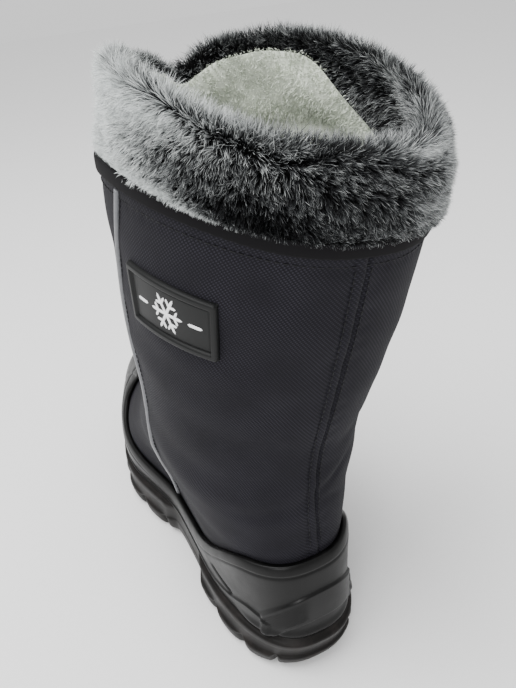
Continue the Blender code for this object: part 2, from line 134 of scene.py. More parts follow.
def ripple(u: np.ndarray, v: np.ndarray, seed: int, waves: int = 7) -> np.ndarray:
    """Soft uneven relief: a sum of a few sine waves of random direction, length and start.

    Args:
        u: First place in radians, periodic over a full turn.
        v: Second place in radians.
        seed: Fixes the waves.
        waves: How many are added.

    Returns:
        Values mostly between minus one and one.
    """
    rng = np.random.default_rng(seed)
    total = np.zeros(np.broadcast(u, v).shape)
    for _ in range(waves):
        turns, rise, start = rng.integers(-9, 10), rng.uniform(-9, 9), rng.uniform(0, FULL_TURN)
        total = total + np.sin(turns * u + rise * v + start)
    return total / math.sqrt(waves)


@dataclass(frozen=True)
class BootForm:
    """The boot's outer form, the same as its source's: lasted foot, ankle and leaning shaft."""

    length: float = 0.300
    heel_width: float = 0.092
    waist_width: float = 0.082
    ball_width: float = 0.110
    toe_width: float = 0.102
    sole_height: float = 0.028
    ledge: float = 0.0045
    heel_centre: float = 0.042
    spring_start: float = 0.205
    toe_spring: float = 0.013
    galosh_wall: float = 0.005
    ankle_height: float = 0.140
    ankle_back: float = 0.0125
    ankle_depth: float = 0.149
    ankle_width: float = 0.107
    shaft_height: float = 0.2745
    top_back: float = -0.013
    top_depth: float = 0.166
    top_width: float = 0.137
    top_shift: float = -0.015
    top_slope: float = 0.05
    slope_centre: float = 0.070
    outer_rise: float = 0.009
    saddle: float = -0.0045
    twist: float = -0.004
    foot_roundness: float = 2.8
    shaft_roundness: float = 2.2
    lean_start: float = 0.2

    foot_columns = ("height", "front", "back", "blend", "heel", "waist", "ball", "toe")
    foot_rows = (
        (0.000, 0.980, 0.20, 0.00, 0.98, 0.97, 0.98, 0.97),
        (0.105, 1.000, 0.00, 0.00, 1.03, 1.03, 1.03, 1.03),
        (0.205, 0.992, 0.00, 0.03, 1.05, 1.06, 1.03, 1.00),
        (0.300, 0.940, 0.10, 0.09, 1.05, 1.10, 1.00, 0.93),
        (0.385, 0.825, 0.25, 0.18, 1.04, 1.13, 0.96, 0.86),
        (0.470, 0.660, 0.42, 0.30, 1.03, 1.15, 0.93, 0.84),
        (0.560, 0.480, 0.60, 0.45, 1.02, 1.15, 0.92, 0.86),
        (0.660, 0.310, 0.76, 0.62, 1.01, 1.12, 0.94, 0.92),
        (0.770, 0.175, 0.88, 0.80, 1.00, 1.06, 0.98, 0.98),
        (0.880, 0.080, 0.95, 0.92, 1.00, 1.03, 0.99, 0.99),
        (1.000, 0.020, 1.00, 1.00, 1.00, 1.00, 1.00, 1.00),
    )
    shaft_columns = ("height", "back", "front", "width")
    shaft_rows = (
        (0.00, 0.00, 0.00, 0.00),
        (0.12, 0.08, 0.60, 0.12),
        (0.35, 0.36, 0.90, 0.45),
        (0.70, 0.74, 1.00, 0.80),
        (1.00, 1.00, 1.00, 1.00),
    )
    swing_columns = ("length", "swing")
    swing_rows = ((0.0, 0.0), (0.25, 0.005), (0.45, 0.020), (0.68, 0.020), (1.0, -0.050))
    rim_columns = ("place", "height")
    rim_rows = (
        (-1.00, 0.608),
        (-0.86, 0.600),
        (-0.74, 0.545),
        (-0.60, 0.440),
        (-0.43, 0.345),
        (-0.20, 0.305),
        (0.10, 0.325),
        (0.45, 0.390),
        (0.80, 0.570),
        (1.00, 0.690),
    )
    width_places = (0.0, 0.14, 0.42, 0.68, 0.90, 1.0)

    @staticmethod
    def look_up(rows: tuple, names: tuple, x: np.ndarray) -> dict[str, np.ndarray]:
        """Every column of a table at x, which its first column holds."""
        knots = [row[0] for row in rows]
        return {name: smooth(x, knots, [row[k] for row in rows]) for k, name in enumerate(names)}

    @property
    def low(self) -> float:
        """The height at which the upper stands on the sole."""
        return self.sole_height + GAP

    def rim(self, angle: np.ndarray) -> np.ndarray:
        """The galosh's rim at an angle round the boot."""
        return self.ankle_height * self.look_up(self.rim_rows, self.rim_columns, np.cos(angle))["height"]

    def point(self, height: np.ndarray, angle: np.ndarray) -> np.ndarray:
        """The outer face at a nominal height and an angle: nought is the toe, pi the heel.

        The section is a rounded oval between back and front, whose half-width runs through the
        heel, waist, ball and toe widths. The top edge's slope and the toe spring are added last.

        Args:
            height: Heights in metres.
            angle: Angles in radians, of a shape that goes with the heights.

        Returns:
            Points, with a last axis of three.
        """
        height, angle = np.broadcast_arrays(np.asarray(height, float), np.asarray(angle, float))
        share = (1 + np.cos(angle)) / 2
        inset = self.ledge + self.galosh_wall + GAP
        ankle_front = self.ankle_back + self.ankle_depth
        climb = (height - self.sole_height) / (self.ankle_height - self.sole_height)
        rise = (height - self.ankle_height) / (self.shaft_height - self.ankle_height)
        rows = self.look_up(self.foot_rows, self.foot_columns, climb)
        tall = self.look_up(self.shaft_rows, self.shaft_columns, rise)
        back = inset + rows["back"] * (self.ankle_back - inset)
        back = back + tall["back"] * (self.top_back - self.ankle_back)
        front = ankle_front + rows["front"] * (self.length - inset - ankle_front)
        front = front + tall["front"] * (self.top_back + self.top_depth - ankle_front)
        upper = self.ankle_width / 2 + tall["width"] * (self.top_width - self.ankle_width) / 2
        lean = self.top_shift * np.clip(rise + self.lean_start, 0, None) / (1 + self.lean_start)
        widths = {
            "heel": self.heel_width,
            "waist": self.waist_width,
            "ball": self.ball_width,
            "toe": self.toe_width,
        }
        sizes = []
        for name, width in widths.items():
            lasted = rows[name] * (width / 2 - inset)
            sizes.append(lasted + rows["blend"] * (upper - lasted))
        half = smooth(share, self.width_places, np.stack([sizes[k] for k in (0, 0, 1, 2, 3, 3)]))
        power = self.foot_roundness + rows["blend"] * (self.shaft_roundness - self.foot_roundness)
        oval = np.clip(1 - abs(2 * share - 1) ** power, 0, 1) ** (1 / power)
        swing = self.look_up(self.swing_rows, self.swing_columns, share)["swing"]
        x = back + (front - back) * share
        y = swing * self.ball_width * (1 - rows["blend"]) + lean
        y = y + np.sign(np.round(np.sin(angle), 9)) * half * oval
        edge = self.outer_rise * np.sin(angle) + self.saddle * np.cos(2 * angle)
        edge = edge + self.twist * np.sin(2 * angle)
        edge = edge + self.top_slope * (x - self.slope_centre)
        spring = np.clip((x - self.spring_start) / (self.length - self.spring_start), 0, None) ** 2
        z = height + np.clip(rise, 0, 1) * edge + self.toe_spring * spring
        return np.stack([x - self.heel_centre, y, z], axis=-1)

    def surface(self, height: np.ndarray, angle: np.ndarray, off: np.ndarray = 0.0) -> np.ndarray:
        """Points off the outer face along its normal, the cross product of its two slopes.

        Args:
            height: Heights in metres.
            angle: Angles in radians.
            off: Distances from the outer face, outwards.

        Returns:
            Points, with a last axis of three.
        """
        height, angle, off = np.broadcast_arrays(np.asarray(height, float), angle, off)
        step = 0.02
        around = self.point(height, angle + step) - self.point(height, angle - step)
        lower = np.clip(height - MM, self.low, None)
        upper = np.clip(height + MM, None, self.shaft_height)
        upward = self.point(upper, angle) - self.point(lower, angle)
        return self.point(height, angle) + unit(np.cross(around, upward)) * off[..., None]


def angle_of(place: np.ndarray) -> np.ndarray:
    """The angle of a place counted in the source's columns, of which the outer side is 14."""
    return np.asarray(place, float) * FULL_TURN / COLUMNS


def mesh_object(
    name: str, points: np.ndarray, faces: np.ndarray, finish: bpy.types.Material,
    maps: dict[str, np.ndarray] | None = None,
) -> bpy.types.Object:
    """Makes an object from whole arrays.

    Args:
        name: The object's name.
        points: One row a vertex.
        faces: One row a face, all of as many corners.
        finish: The material.
        maps: UV maps, each with one row a corner.

    Returns:
        The object, at the origin and linked to the scene.
    """
    mesh = bpy.data.meshes.new(name)
    mesh.vertices.add(len(points))
    mesh.vertices.foreach_set("co", np.asarray(points, np.float32).ravel())
    mesh.loops.add(faces.size)
    mesh.loops.foreach_set("vertex_index", np.asarray(faces, np.int32).ravel())
    mesh.polygons.add(len(faces))
    mesh.polygons.foreach_set("loop_start", np.arange(0, faces.size, faces.shape[1], dtype=np.int32))
    mesh.update(calc_edges=True)
    mesh.shade_smooth()
    for title, values in (maps or {}).items():
        layer = mesh.uv_layers.new(name=title)
        layer.uv.foreach_set("vector", np.asarray(values, np.float32).ravel())
    mesh.materials.append(finish)
    obj = bpy.data.objects.new(name, mesh)
    bpy.context.collection.objects.link(obj)
    return obj


def grid_faces(rows: int, columns: int, around: bool, closed: bool) -> tuple[np.ndarray, np.ndarray]:
    """Quads of a grid of points, and each corner's own row and column, which don't wrap.

    Args:
        rows: Rows of points.
        columns: Columns of points.
        around: Whether the last column joins the first.
        closed: Whether the last row joins the first.

    Returns:
        The faces, and the row and column of each corner for a map.
    """
    r, c = np.meshgrid(np.arange(rows - (not closed)), np.arange(columns - (not around)), indexing="ij")
    r = np.stack([r, r, r + 1, r + 1], axis=-1).reshape(-1, 4)
    c = np.stack([c, c + 1, c + 1, c], axis=-1).reshape(-1, 4)
    return (r % rows) * columns + c % columns, np.stack([r, c], axis=-1)


def tube_sheet(
    name: str, points: np.ndarray, finish: bpy.types.Material, across: float, upward: np.ndarray,
    closed: bool = False,
) -> bpy.types.Object:
    """A grid that goes right round the boot, with a map in metres.

    Args:
        name: The object's name.
        points: Rows by columns by three.
        finish: The material.
        across: Metres round the boot, for the map's first value.
        upward: The map's second value for each row.
        closed: Whether the last row joins the first.

    Returns:
        The object.
    """
    rows, columns = points.shape[:2]
    faces, corners = grid_faces(rows, columns, True, closed)
    rise = np.append(upward, upward[:1])[corners[..., 0]]
    flat = np.stack([corners[..., 1] / columns * across, rise], axis=-1)
    return mesh_object(name, points.reshape(-1, 3), faces, finish, {"cloth": flat})


def sweep(
    name: str, path: np.ndarray, side: np.ndarray, out: np.ndarray, profile: np.ndarray,
    finish: bpy.types.Material,
) -> bpy.types.Object:
    """A closed profile carried along a path, with its two ends capped by their middle points.

    Args:
        name: The object's name.
        path: Points along the way.
        side: Unit vectors across it.
        out: Unit vectors away from what it lies on.
        profile: Points of the section, as metres across and out.
        finish: The material.

    Returns:
        The object, with its length and girth in metres as its map.
    """
    count, size = len(path), len(profile)
    rings = path[:, None] + side[:, None] * profile[None, :, :1] + out[:, None] * profile[None, :, 1:]
    ends = rings[[0, -1]].mean(axis=1)
    first, last = (np.repeat(end[None, None], size, axis=1) for end in ends)
    rings = np.concatenate([first, rings, last])
    faces, corners = grid_faces(count + 2, size, True, False)
    girth = np.linalg.norm(np.diff(profile, axis=0), axis=1).sum()
    along = np.linalg.norm(np.diff(rings[:, 0], axis=0), axis=1).cumsum()
    along = np.concatenate([[0.0], along])
    flat = np.stack([corners[..., 1] / size * girth, along[corners[..., 0]]], axis=-1)
    obj = mesh_object(name, rings.reshape(-1, 3), faces, finish, {"cloth": flat})
    merge_points(obj)
    return obj


def merge_points(obj: bpy.types.Object) -> None:
    """Merges points that lie together, so that poles are closed.

    Args:
        obj: The object whose mesh is changed.
    """
    work = bmesh.new()
    work.from_mesh(obj.data)
    bmesh.ops.remove_doubles(work, verts=work.verts, dist=1e-7)
    work.to_mesh(obj.data)
    work.free()


def scatter(
    name: str, template: np.ndarray, faces: np.ndarray, origin: np.ndarray, axes: np.ndarray,
    finish: bpy.types.Material,
) -> bpy.types.Object:
    """Copies of one small form, each at its own place and turn: origin plus axes times the form.

    Args:
        name: The object's name.
        template: The form's points.
        faces: Its faces.
        origin: A place for each copy.
        axes: For each copy, the three directions that the form's x, y and z take.
        finish: The material.

    Returns:
        One object of all the copies.
    """
    points = origin[:, None] + np.einsum("vk,nkc->nvc", template, axes)
    shift = np.arange(len(origin))[:, None, None] * len(template)
    return mesh_object(name, points.reshape(-1, 3), (faces[None] + shift).reshape(-1, faces.shape[1]), finish)


def blades(
    name: str, root: np.ndarray, middle: np.ndarray, tip: np.ndarray, side: np.ndarray, belly: float,
    chance: np.ndarray, tone: np.ndarray, finish: bpy.types.Material,
) -> bpy.types.Object:
    """Hairs as narrow blades, each of three triangles from a wide root over a middle to a point.

    Args:
        name: The object's name.
        root: Where each hair starts.
        middle: Where it bends.
        tip: Where it ends.
        side: Half its width as a vector across it.
        belly: Its width at the middle, as a share of the root's.
        chance: A number a hair, between nought and one, for the finish's map "hair".
        tone: How pale each hair's place is, for the map "tone"; for the fur this holds painted highlight and
            shade as well as the silver tips.
        finish: The material.

    Returns:
        The hairs as one object.
    """
    count = len(root)
    points = np.stack([root - side, root + side, middle - side * belly, middle + side * belly, tip], axis=1)
    faces = np.array([[0, 1, 3], [0, 3, 2], [2, 3, 4]])
    faces = (faces[None] + np.arange(count)[:, None, None] * 5).reshape(-1, 3)
    reach = np.array([0.0, 0.0, 0.55, 0.55, 1.0])
    strand = np.stack([np.repeat(chance, 5), np.tile(reach, count)], axis=-1)
    tones = np.stack([np.repeat(tone, 5), np.zeros(count * 5)], axis=-1)
    maps = {"hair": strand[faces.ravel()], "tone": tones[faces.ravel()]}
    return mesh_object(name, points.reshape(-1, 3), faces, finish, maps)


def add(
    tree: bpy.types.NodeTree, kind: str, inputs: dict | None = None, stops: tuple = (), **settings: object,
) -> bpy.types.Node:
    """Adds a node with its settings and links.

    Args:
        tree: The material's nodes.
        kind: The node's type name.
        inputs: For each input by name or number, a socket to link or a value to set.
        stops: For a ramp, its pairs of place and hex colour.
        settings: Properties of the node.

    Returns:
        The node.
    """
    node = tree.nodes.new(kind)
    for key, value in settings.items():
        setattr(node, key, value)
    for key, value in (inputs or {}).items():
        if isinstance(value, bpy.types.NodeSocket):
            tree.links.new(value, node.inputs[key])
        else:
            node.inputs[key].default_value = value
    while stops and len(node.color_ramp.elements) < len(stops):
        node.color_ramp.elements.new(0.5)
    for k, (place, colour) in enumerate(stops):
        node.color_ramp.elements[k].position = place
        node.color_ramp.elements[k].color = linear(colour)
    return node


class Weave(Enum):
    """How a cloth's threads lie."""

    TWILL = "diagonal"
    RIBBED = "across"


@dataclass(frozen=True)
class Finish:
    """What every finish has: a name and the shader's plain values."""

    name: str
    colour: str
    roughness: float = 0.5
    ior: float = 1.5
    sheen: float = 0.0
    coat: float = 0.0

    def start(self) -> tuple[bpy.types.Material, bpy.types.NodeTree, bpy.types.Node]:
        """A new material with its shader set.

        Returns:
            The material, its nodes and its shader.
        """
        material = bpy.data.materials.new(self.name)
        material.use_nodes = True
        tree = material.node_tree
        shader = tree.nodes["Principled BSDF"]
        shader.inputs["Base Color"].default_value = linear(self.colour)
        shader.inputs["Roughness"].default_value = self.roughness
        shader.inputs["IOR"].default_value = self.ior
        shader.inputs["Sheen Weight"].default_value = self.sheen
        shader.inputs["Sheen Roughness"].default_value = 0.4
        shader.inputs["Coat Weight"].default_value = self.coat
        shader.inputs["Coat Roughness"].default_value = 0.25
        return material, tree, shader


@dataclass(frozen=True)
class WovenNylon(Finish):
    """Textured polyamide yarn: a dry black cloth whose raised threads carry a painted grey highlight."""

    weave: Weave = Weave.TWILL
    ridge_highlight: str = "29282f"
    pitch: float = 1.05 * MM
    depth: float = 0.18 * MM
    across: float = 0.7

    def make(self) -> bpy.types.Material:
        """Thread ridges, drawn about twice as coarse as the real thread so that they show.

        Two sets of waves cross each other, and the raised threads are coloured lighter as a painted
        highlight; a slow noise makes some areas paler than others.

        Returns:
            The material.
        """
        material, tree, shader = self.start()
        cloth = add(tree, "ShaderNodeUVMap", uv_map="cloth").outputs["UV"]
        turn = math.radians(52) if self.weave is Weave.TWILL else 0.0
        turned = add(tree, "ShaderNodeMapping", {"Vector": cloth, "Rotation": (0, 0, turn)}).outputs["Vector"]
        scale = math.pi / 10 / self.pitch
        lines = add(
            tree, "ShaderNodeTexWave",
            {"Vector": turned, "Scale": scale, "Distortion": 0.6, "Detail": 1.0, "Detail Scale": 0.5},
            bands_direction="X",
        ).outputs["Fac"]
        threads = add(
            tree, "ShaderNodeTexWave", {"Vector": turned, "Scale": scale * self.across, "Distortion": 0.4},
            bands_direction="Y",
        ).outputs["Fac"]
        woven = add(tree, "ShaderNodeMath", {0: lines, 1: threads}, operation="MULTIPLY").outputs[0]
        place = add(tree, "ShaderNodeTexCoord").outputs["Object"]
        patchy = add(
            tree, "ShaderNodeTexNoise", {"Vector": place, "Scale": 38.0, "Detail": 4.0},
        ).outputs["Fac"]
        uneven = add(
            tree, "ShaderNodeMapRange",
            {"Value": patchy, "From Min": 0.3, "From Max": 0.7, "To Min": 0.25, "To Max": 0.95},
        ).outputs["Result"]
        shown = add(tree, "ShaderNodeMath", {0: woven, 1: uneven}, operation="MULTIPLY").outputs[0]
        # Painted highlight: the weave is real, but its raised threads take the lighter colour as if they
        # caught the light.
        colour = add(
            tree, "ShaderNodeValToRGB", {"Fac": shown}, ((0.0, self.colour), (0.75, self.ridge_highlight)),
        ).outputs["Color"]
        tree.links.new(colour, shader.inputs["Base Color"])
        bump = add(tree, "ShaderNodeBump", {"Height": woven, "Distance": self.depth, "Strength": 0.6})
        tree.links.new(bump.outputs["Normal"], shader.inputs["Normal"])
        return material


@dataclass(frozen=True)
class FoamRubber(Finish):
    """Moulded foam rubber: near black with a broad soft gloss, a fine grain and dusty scuffs."""

    scuff: str = "4a4846"
    grain: float = 0.10 * MM
    scuffed: float = 0.5

    def make(self) -> bpy.types.Material:
        """Grain of about half a millimetre, and scuffs where the surface is worn smooth.

        Returns:
            The material.
        """
        material, tree, shader = self.start()
        place = add(tree, "ShaderNodeTexCoord").outputs["Object"]
        grain = add(
            tree, "ShaderNodeTexNoise", {"Vector": place, "Scale": 1600.0, "Detail": 2.0},
        ).outputs["Fac"]
        cloud = add(
            tree, "ShaderNodeTexNoise", {"Vector": place, "Scale": 55.0, "Detail": 6.0, "Roughness": 0.65},
        ).outputs["Fac"]
        worn = add(
            tree, "ShaderNodeMapRange",
            {"Value": cloud, "From Min": 0.45, "From Max": 0.85, "To Max": self.scuffed},
        ).outputs["Result"]
        colour = add(
            tree, "ShaderNodeValToRGB", {"Fac": worn}, ((0.0, self.colour), (1.0, self.scuff)),
        ).outputs["Color"]
        tree.links.new(colour, shader.inputs["Base Color"])
        rough = add(
            tree, "ShaderNodeMapRange",
            {"Value": cloud, "From Min": 0.3, "From Max": 0.75, "To Min": self.roughness - 0.06,
             "To Max": self.roughness + 0.12},
        ).outputs["Result"]
        tree.links.new(rough, shader.inputs["Roughness"])
        bump = add(tree, "ShaderNodeBump", {"Height": grain, "Distance": self.grain, "Strength": 0.35})
        tree.links.new(bump.outputs["Normal"], shader.inputs["Normal"])
        return material


@dataclass(frozen=True)
class Pile(Finish):
    """Acrylic pile: dark at the root and silver at the tip, so that it reads as salt and pepper."""

    tip: str = "c9cbcd"
    mid: str = "4d4e50"
    tip_start: float = 0.62

    def make(self) -> bpy.types.Material:
        """Colour by how far along the hair, the hair's own chance and how pale its place is; on the fur that
        last holds painted highlight and shade.

        The three are added, and a ramp from root to tip colour reads their sum.

        Returns:
            The material.
        """
        material, tree, shader = self.start()
        hair = add(tree, "ShaderNodeUVMap", uv_map="hair").outputs["UV"]
        parts = add(tree, "ShaderNodeSeparateXYZ", {"Vector": hair})
        # The map "tone" holds painted highlight and shade for the fur, and random patches for the wool.
        tone = add(tree, "ShaderNodeUVMap", uv_map="tone").outputs["UV"]
        tones = add(tree, "ShaderNodeSeparateXYZ", {"Vector": tone})
        chance = add(
            tree, "ShaderNodeMapRange",
            {"Value": parts.outputs["X"], "To Min": -0.38, "To Max": 0.30},
        ).outputs["Result"]
        moved = add(tree, "ShaderNodeMath", {0: parts.outputs["Y"], 1: chance}, operation="ADD").outputs[0]
        paler = add(tree, "ShaderNodeMath", {0: moved, 1: tones.outputs["X"]}, operation="ADD").outputs[0]
        stops = (
            (0.0, self.colour),
            (self.tip_start * 0.6, self.mid),
            (self.tip_start + 0.25, self.tip),
        )
        colour = add(tree, "ShaderNodeValToRGB", {"Fac": paler}, stops).outputs["Color"]
        tree.links.new(colour, shader.inputs["Base Color"])
        return material


@dataclass(frozen=True)
class Plain(Finish):
    """A plain finish with a slight unevenness of tone and a fine bump."""

    other: str = "333336"
    size: float = 3 * MM
    depth: float = 0.1 * MM

    def make(self) -> bpy.types.Material:
        """Tone and bump from one noise, whose clouds have the given size.

        Returns:
            The material.
        """
        material, tree, shader = self.start()
        place = add(tree, "ShaderNodeTexCoord").outputs["Object"]
        cloud = add(
            tree, "ShaderNodeTexNoise",
            {"Vector": place, "Scale": 1 / self.size, "Detail": 5.0, "Roughness": 0.6},
        ).outputs["Fac"]
        colour = add(
            tree, "ShaderNodeValToRGB", {"Fac": cloud}, ((0.3, self.colour), (0.72, self.other)),
        ).outputs["Color"]
        tree.links.new(colour, shader.inputs["Base Color"])
        bump = add(tree, "ShaderNodeBump", {"Height": cloud, "Distance": self.depth, "Strength": 0.5})
        tree.links.new(bump.outputs["Normal"], shader.inputs["Normal"])
        return material


# Woven polyamide, coated behind: a dry blue-black whose twill carries a thin painted grey highlight.
NYLON = WovenNylon("padded_nylon_twill", "0f0e13", roughness=0.85, ior=1.25, sheen=0.015)
# Woven polyester tape: flat black with ribs across it, whose raised ribs carry a painted grey highlight, and
# no gloss.
TAPE = WovenNylon("ribbed_polyester_tape", "0b0a0c", roughness=0.9, ior=1.25, weave=Weave.RIBBED,
                  ridge_highlight="302e33", pitch=1.8 * MM, depth=0.35 * MM, across=0.02)
# Bonded nylon thread: black, with a slight shine on each stitch.
THREAD = Plain("bonded_nylon_thread", "060607", roughness=0.6, ior=1.3, other="151518", size=1 * MM)
# Foam rubber from a smooth mould: near black, with a broad soft gloss and dusty scuffs.
FOAM = FoamRubber("moulded_foam_rubber", "050505", roughness=0.36, ior=1.26, scuff="1b1a1a")
# Moulded sole rubber: a little browner, rougher and dustier than the foam.
SOLE = FoamRubber("moulded_sole_rubber", "0c0a09", roughness=0.46, ior=1.24, scuff="2b2624", scuffed=0.8)
# Acrylic pile: black roots and silver tips, so that it reads as salt and pepper.
FUR = Pile("acrylic_fur", "040405", roughness=0.6, ior=1.3, tip="d6dad9", mid="3c3e40")
# Wool pile: matt and greenish white, with a slightly darker root.
WOOL = Pile("wool_pile_hair", "c3c9bc", roughness=0.95, ior=1.3, tip="e9eee2", mid="d8dfd1", tip_start=0.5)
# Knitted backing: flat black between the hairs' roots.
BACKING = Plain("knitted_fur_backing", "050505", roughness=0.98, ior=1.2, other="0c0c0d")
# Wool pile's ground: the same pale tone as its hairs, clouded by its clumps.
FLEECE = Plain("wool_pile_backing", "b0b6a9", roughness=0.98, ior=1.3, other="dde2d6", size=7 * MM,
               depth=1 * MM)
# Reflective tape: mid grey in plain light, smooth enough for a soft shine.
REFLECTIVE = Plain("reflective_tape", "5a5b5e", roughness=0.35, other="6c6d70", size=5 * MM, depth=0.03 * MM)
# Moulded soft plastic: black and even, a little shinier than the cloth round it.
PLATE = Plain("moulded_soft_plastic", "070808", roughness=0.5, ior=1.3, other="0b0c0c", size=2 * MM,
              depth=0.03 * MM)
# White moulded plastic: clean and even, the brightest thing on the boot.
MOTIF = Plain("white_moulded_plastic", "e4e5e6", roughness=0.4, other="f4f4f4", size=2 * MM, depth=0.02 * MM)
# Pressed felt: pale grey and quite matt.
FELT = Plain("pressed_felt", "a9ada4", roughness=0.95, other="c2c6bd", size=1.2 * MM, depth=0.3 * MM)


@dataclass(frozen=True)
class Shaft:
    """The padded nylon shaft: a thin wall with its creases, back seam and hem."""

    form: BootForm
    tuck_in: float = 14 * MM
    hem_drop: float = 12 * MM
    inner_off: float = -2.4 * MM
    inner_step: int = 24
    columns: int = 560
    rows: int = 124
    seam: float = 28.6
    topstitch: float = 28.05
    # Each row is a crease: height, place, length, width, depth, tilt.
    # Heights and widths in millimetres, places and lengths in columns, tilt in mm a column.
    crease_rows = (
        (112, 0.0, 9.0, 7.0, -1.6, 0.0),
        (98, -1.5, 6.0, 6.0, -1.2, 0.3),
        (128, 1.0, 8.0, 8.0, -1.0, -0.4),
        (121, 0.0, 10.0, 6.0, 0.9, 0.0),
        (118, 25.0, 3.6, 4.5, -0.8, 1.2),
        (127, 24.2, 4.0, 5.0, 0.6, 1.0),
        (146, 23.5, 5.0, 8.0, -0.7, -1.4),
        (166, 21.0, 5.0, 11.0, -0.6, -2.2),
        (136, 18.0, 4.0, 9.0, -0.5, 1.5),
        (131, 30.6, 1.6, 3.2, -1.1, 3.0),
        (117, 30.2, 1.3, 2.6, -0.8, -3.0),
        (152, 32.0, 3.0, 6.0, -0.8, 1.0),
        (104, 40.0, 5.0, 6.0, -0.9, -0.8),
        (188, 26.0, 4.0, 12.0, -0.5, 2.5),
    )

    def relief(self, height: np.ndarray, angle: np.ndarray) -> np.ndarray:
        """How far the cloth stands off the form: soft troughs and ridges, seam and quilted swell.

        Each crease is a bell across its line, faded out by another bell along it.

        Args:
            height: Heights in metres.
            angle: Angles in radians.

        Returns:
            Distances in metres, outwards.
        """
        place = (angle / FULL_TURN * COLUMNS) % COLUMNS
        mm = height / MM
        off = 0.35 * MM * ripple(angle, height * 26, 5)
        for level, middle, length, width, depth, tilt in self.crease_rows:
            along = (place - middle + COLUMNS / 2) % COLUMNS - COLUMNS / 2
            line = level + tilt * along + 0.6 * np.sin(along * 1.7)
            off = off + depth * MM * swell(mm, line, width) * swell(along, 0, length)
        pucker = 0.5 + 0.5 * np.sin(mm * 0.55 + 2 * np.sin(mm * 0.11))
        off = off - 1.7 * MM * swell(place, self.seam, 0.10) * (0.8 + 0.2 * pucker)
        off = off + 0.75 * MM * swell(place, (self.seam + self.topstitch) / 2, 0.22)
        off = off - 0.9 * MM * swell(place, self.topstitch - 0.06, 0.08) * (0.5 + 0.5 * pucker)
        off = off - 0.35 * MM * pucker * swell(place, self.seam + 0.5, 0.5)
        off = off - 0.9 * MM * swell(height, self.form.rim(angle) + 0.8 * MM, 1.3 * MM)
        hem = self.form.shaft_height - self.hem_drop
        ruffle = 0.7 + 0.3 * np.sin(angle * 61) * np.sin(angle * 23)
        return off - 0.5 * MM * swell(height, hem, 2.2 * MM) * ruffle

    def build(self, nylon: bpy.types.Material) -> bpy.types.Object:
        """Rows from behind the galosh's rim to the top edge, then down again inside the wall.

        Args:
            nylon: The cloth's finish.

        Returns:
            The shaft.
        """
        angle = np.arange(self.columns) * FULL_TURN / self.columns
        start = self.form.rim(angle) - self.tuck_in
        rise = np.linspace(0, 1, self.rows)[:, None]
        height = start + (self.form.shaft_height - start) * rise
        fade = ease(rise * 8) * ease((1 - rise) * 30)
        outer = self.form.surface(height, angle, self.relief(height, angle) * fade)
        inner = self.form.surface(height[::-self.inner_step], angle, self.inner_off)
        points = np.concatenate([outer, inner])
        level = np.concatenate([height.mean(axis=1), height.mean(axis=1)[::-self.inner_step]])
        shaft = tube_sheet("padded_shaft", points, nylon, 0.46, level, closed=True)
        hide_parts("shaft")
        return shaft


@dataclass(frozen=True)
class Stitching:
    """Sewn threads: short capsules sunk a little into the cloth."""

    form: BootForm
    length: float = 2.4 * MM
    step: float = 3.3 * MM
    width: float = 0.55 * MM

    def capsule(self) -> tuple[np.ndarray, np.ndarray]:
        """A stitch along x: seven rings, thick in the middle and closing towards both ends.

        Returns:
            Its points and faces.
        """
        along = np.linspace(-1, 1, 7)
        around = np.arange(6) * FULL_TURN / 6
        size = np.sqrt(np.clip(1 - along ** 4, 0.02, 1))
        x = np.broadcast_to(along[:, None] * self.length / 2, (7, 6))
        y = size[:, None] * np.cos(around) * self.width / 2
        z = size[:, None] * np.sin(around) * self.width / 2
        faces, _ = grid_faces(7, 6, True, False)
        return np.stack([x, y, z], axis=-1).reshape(-1, 3), faces[:, ::-1]

    def line(self, height: np.ndarray, angle: np.ndarray, off: float) -> tuple[np.ndarray, np.ndarray]:
        """Places and turns of the stitches along one line on the form.

        Args:
            height: Heights of the line's points.
            angle: Their angles.
            off: How far the thread's middle stands off the form.

        Returns:
            The stitches' middles, and their three directions each.
        """
        points = self.form.surface(height, angle, off)
        run = np.concatenate([[0], np.linalg.norm(np.diff(points, axis=0), axis=1).cumsum()])
        at = np.arange(self.step, run[-1] - self.step / 2, self.step)
        spot_height, spot_angle = np.interp(at, run, height), np.interp(at, run, angle)
        here = self.form.surface(spot_height, spot_angle, off)
        out = unit(self.form.surface(spot_height, spot_angle, off + MM) - here)
        ahead = np.stack([np.interp(at + MM, run, points[:, k]) for k in range(3)], axis=-1) - here
        ahead = unit(ahead - out * (ahead * out).sum(axis=1, keepdims=True))
        return here, np.stack([ahead, np.cross(out, ahead), out], axis=1)

    def build(self, thread: bpy.types.Material, piping: "Piping") -> bpy.types.Object:
        """Lines under the binding, beside the back seam and along both pipings.

        Args:
            thread: The thread's finish.
            piping: The piping, whose way two of the lines follow.

        Returns:
            All stitches as one object.
        """
        around = np.linspace(0, FULL_TURN, 600)
        top = self.form.shaft_height
        down = np.linspace(0.090, top - 12 * MM, 200)
        lines = [self.line(np.full(600, top - 11.2 * MM), around, -0.1 * MM)]
        for place in (28.03, 28.78):
            lines.append(self.line(down, np.full(200, angle_of(place)), 0.15 * MM))
        for mirrored in (False, True):
            height, place = piping.way()
            lean = piping.columns_of(height, place, 2.6 * MM)
            place = COLUMNS - place - lean if mirrored else place + lean
            lines.append(self.line(height, angle_of(place), 0.1 * MM))
        template, faces = self.capsule()
        origin = np.concatenate([line[0] for line in lines])
        axes = np.concatenate([line[1] for line in lines])
        stitches = scatter("stitches", template, faces, origin, axes, thread)
        return stitches


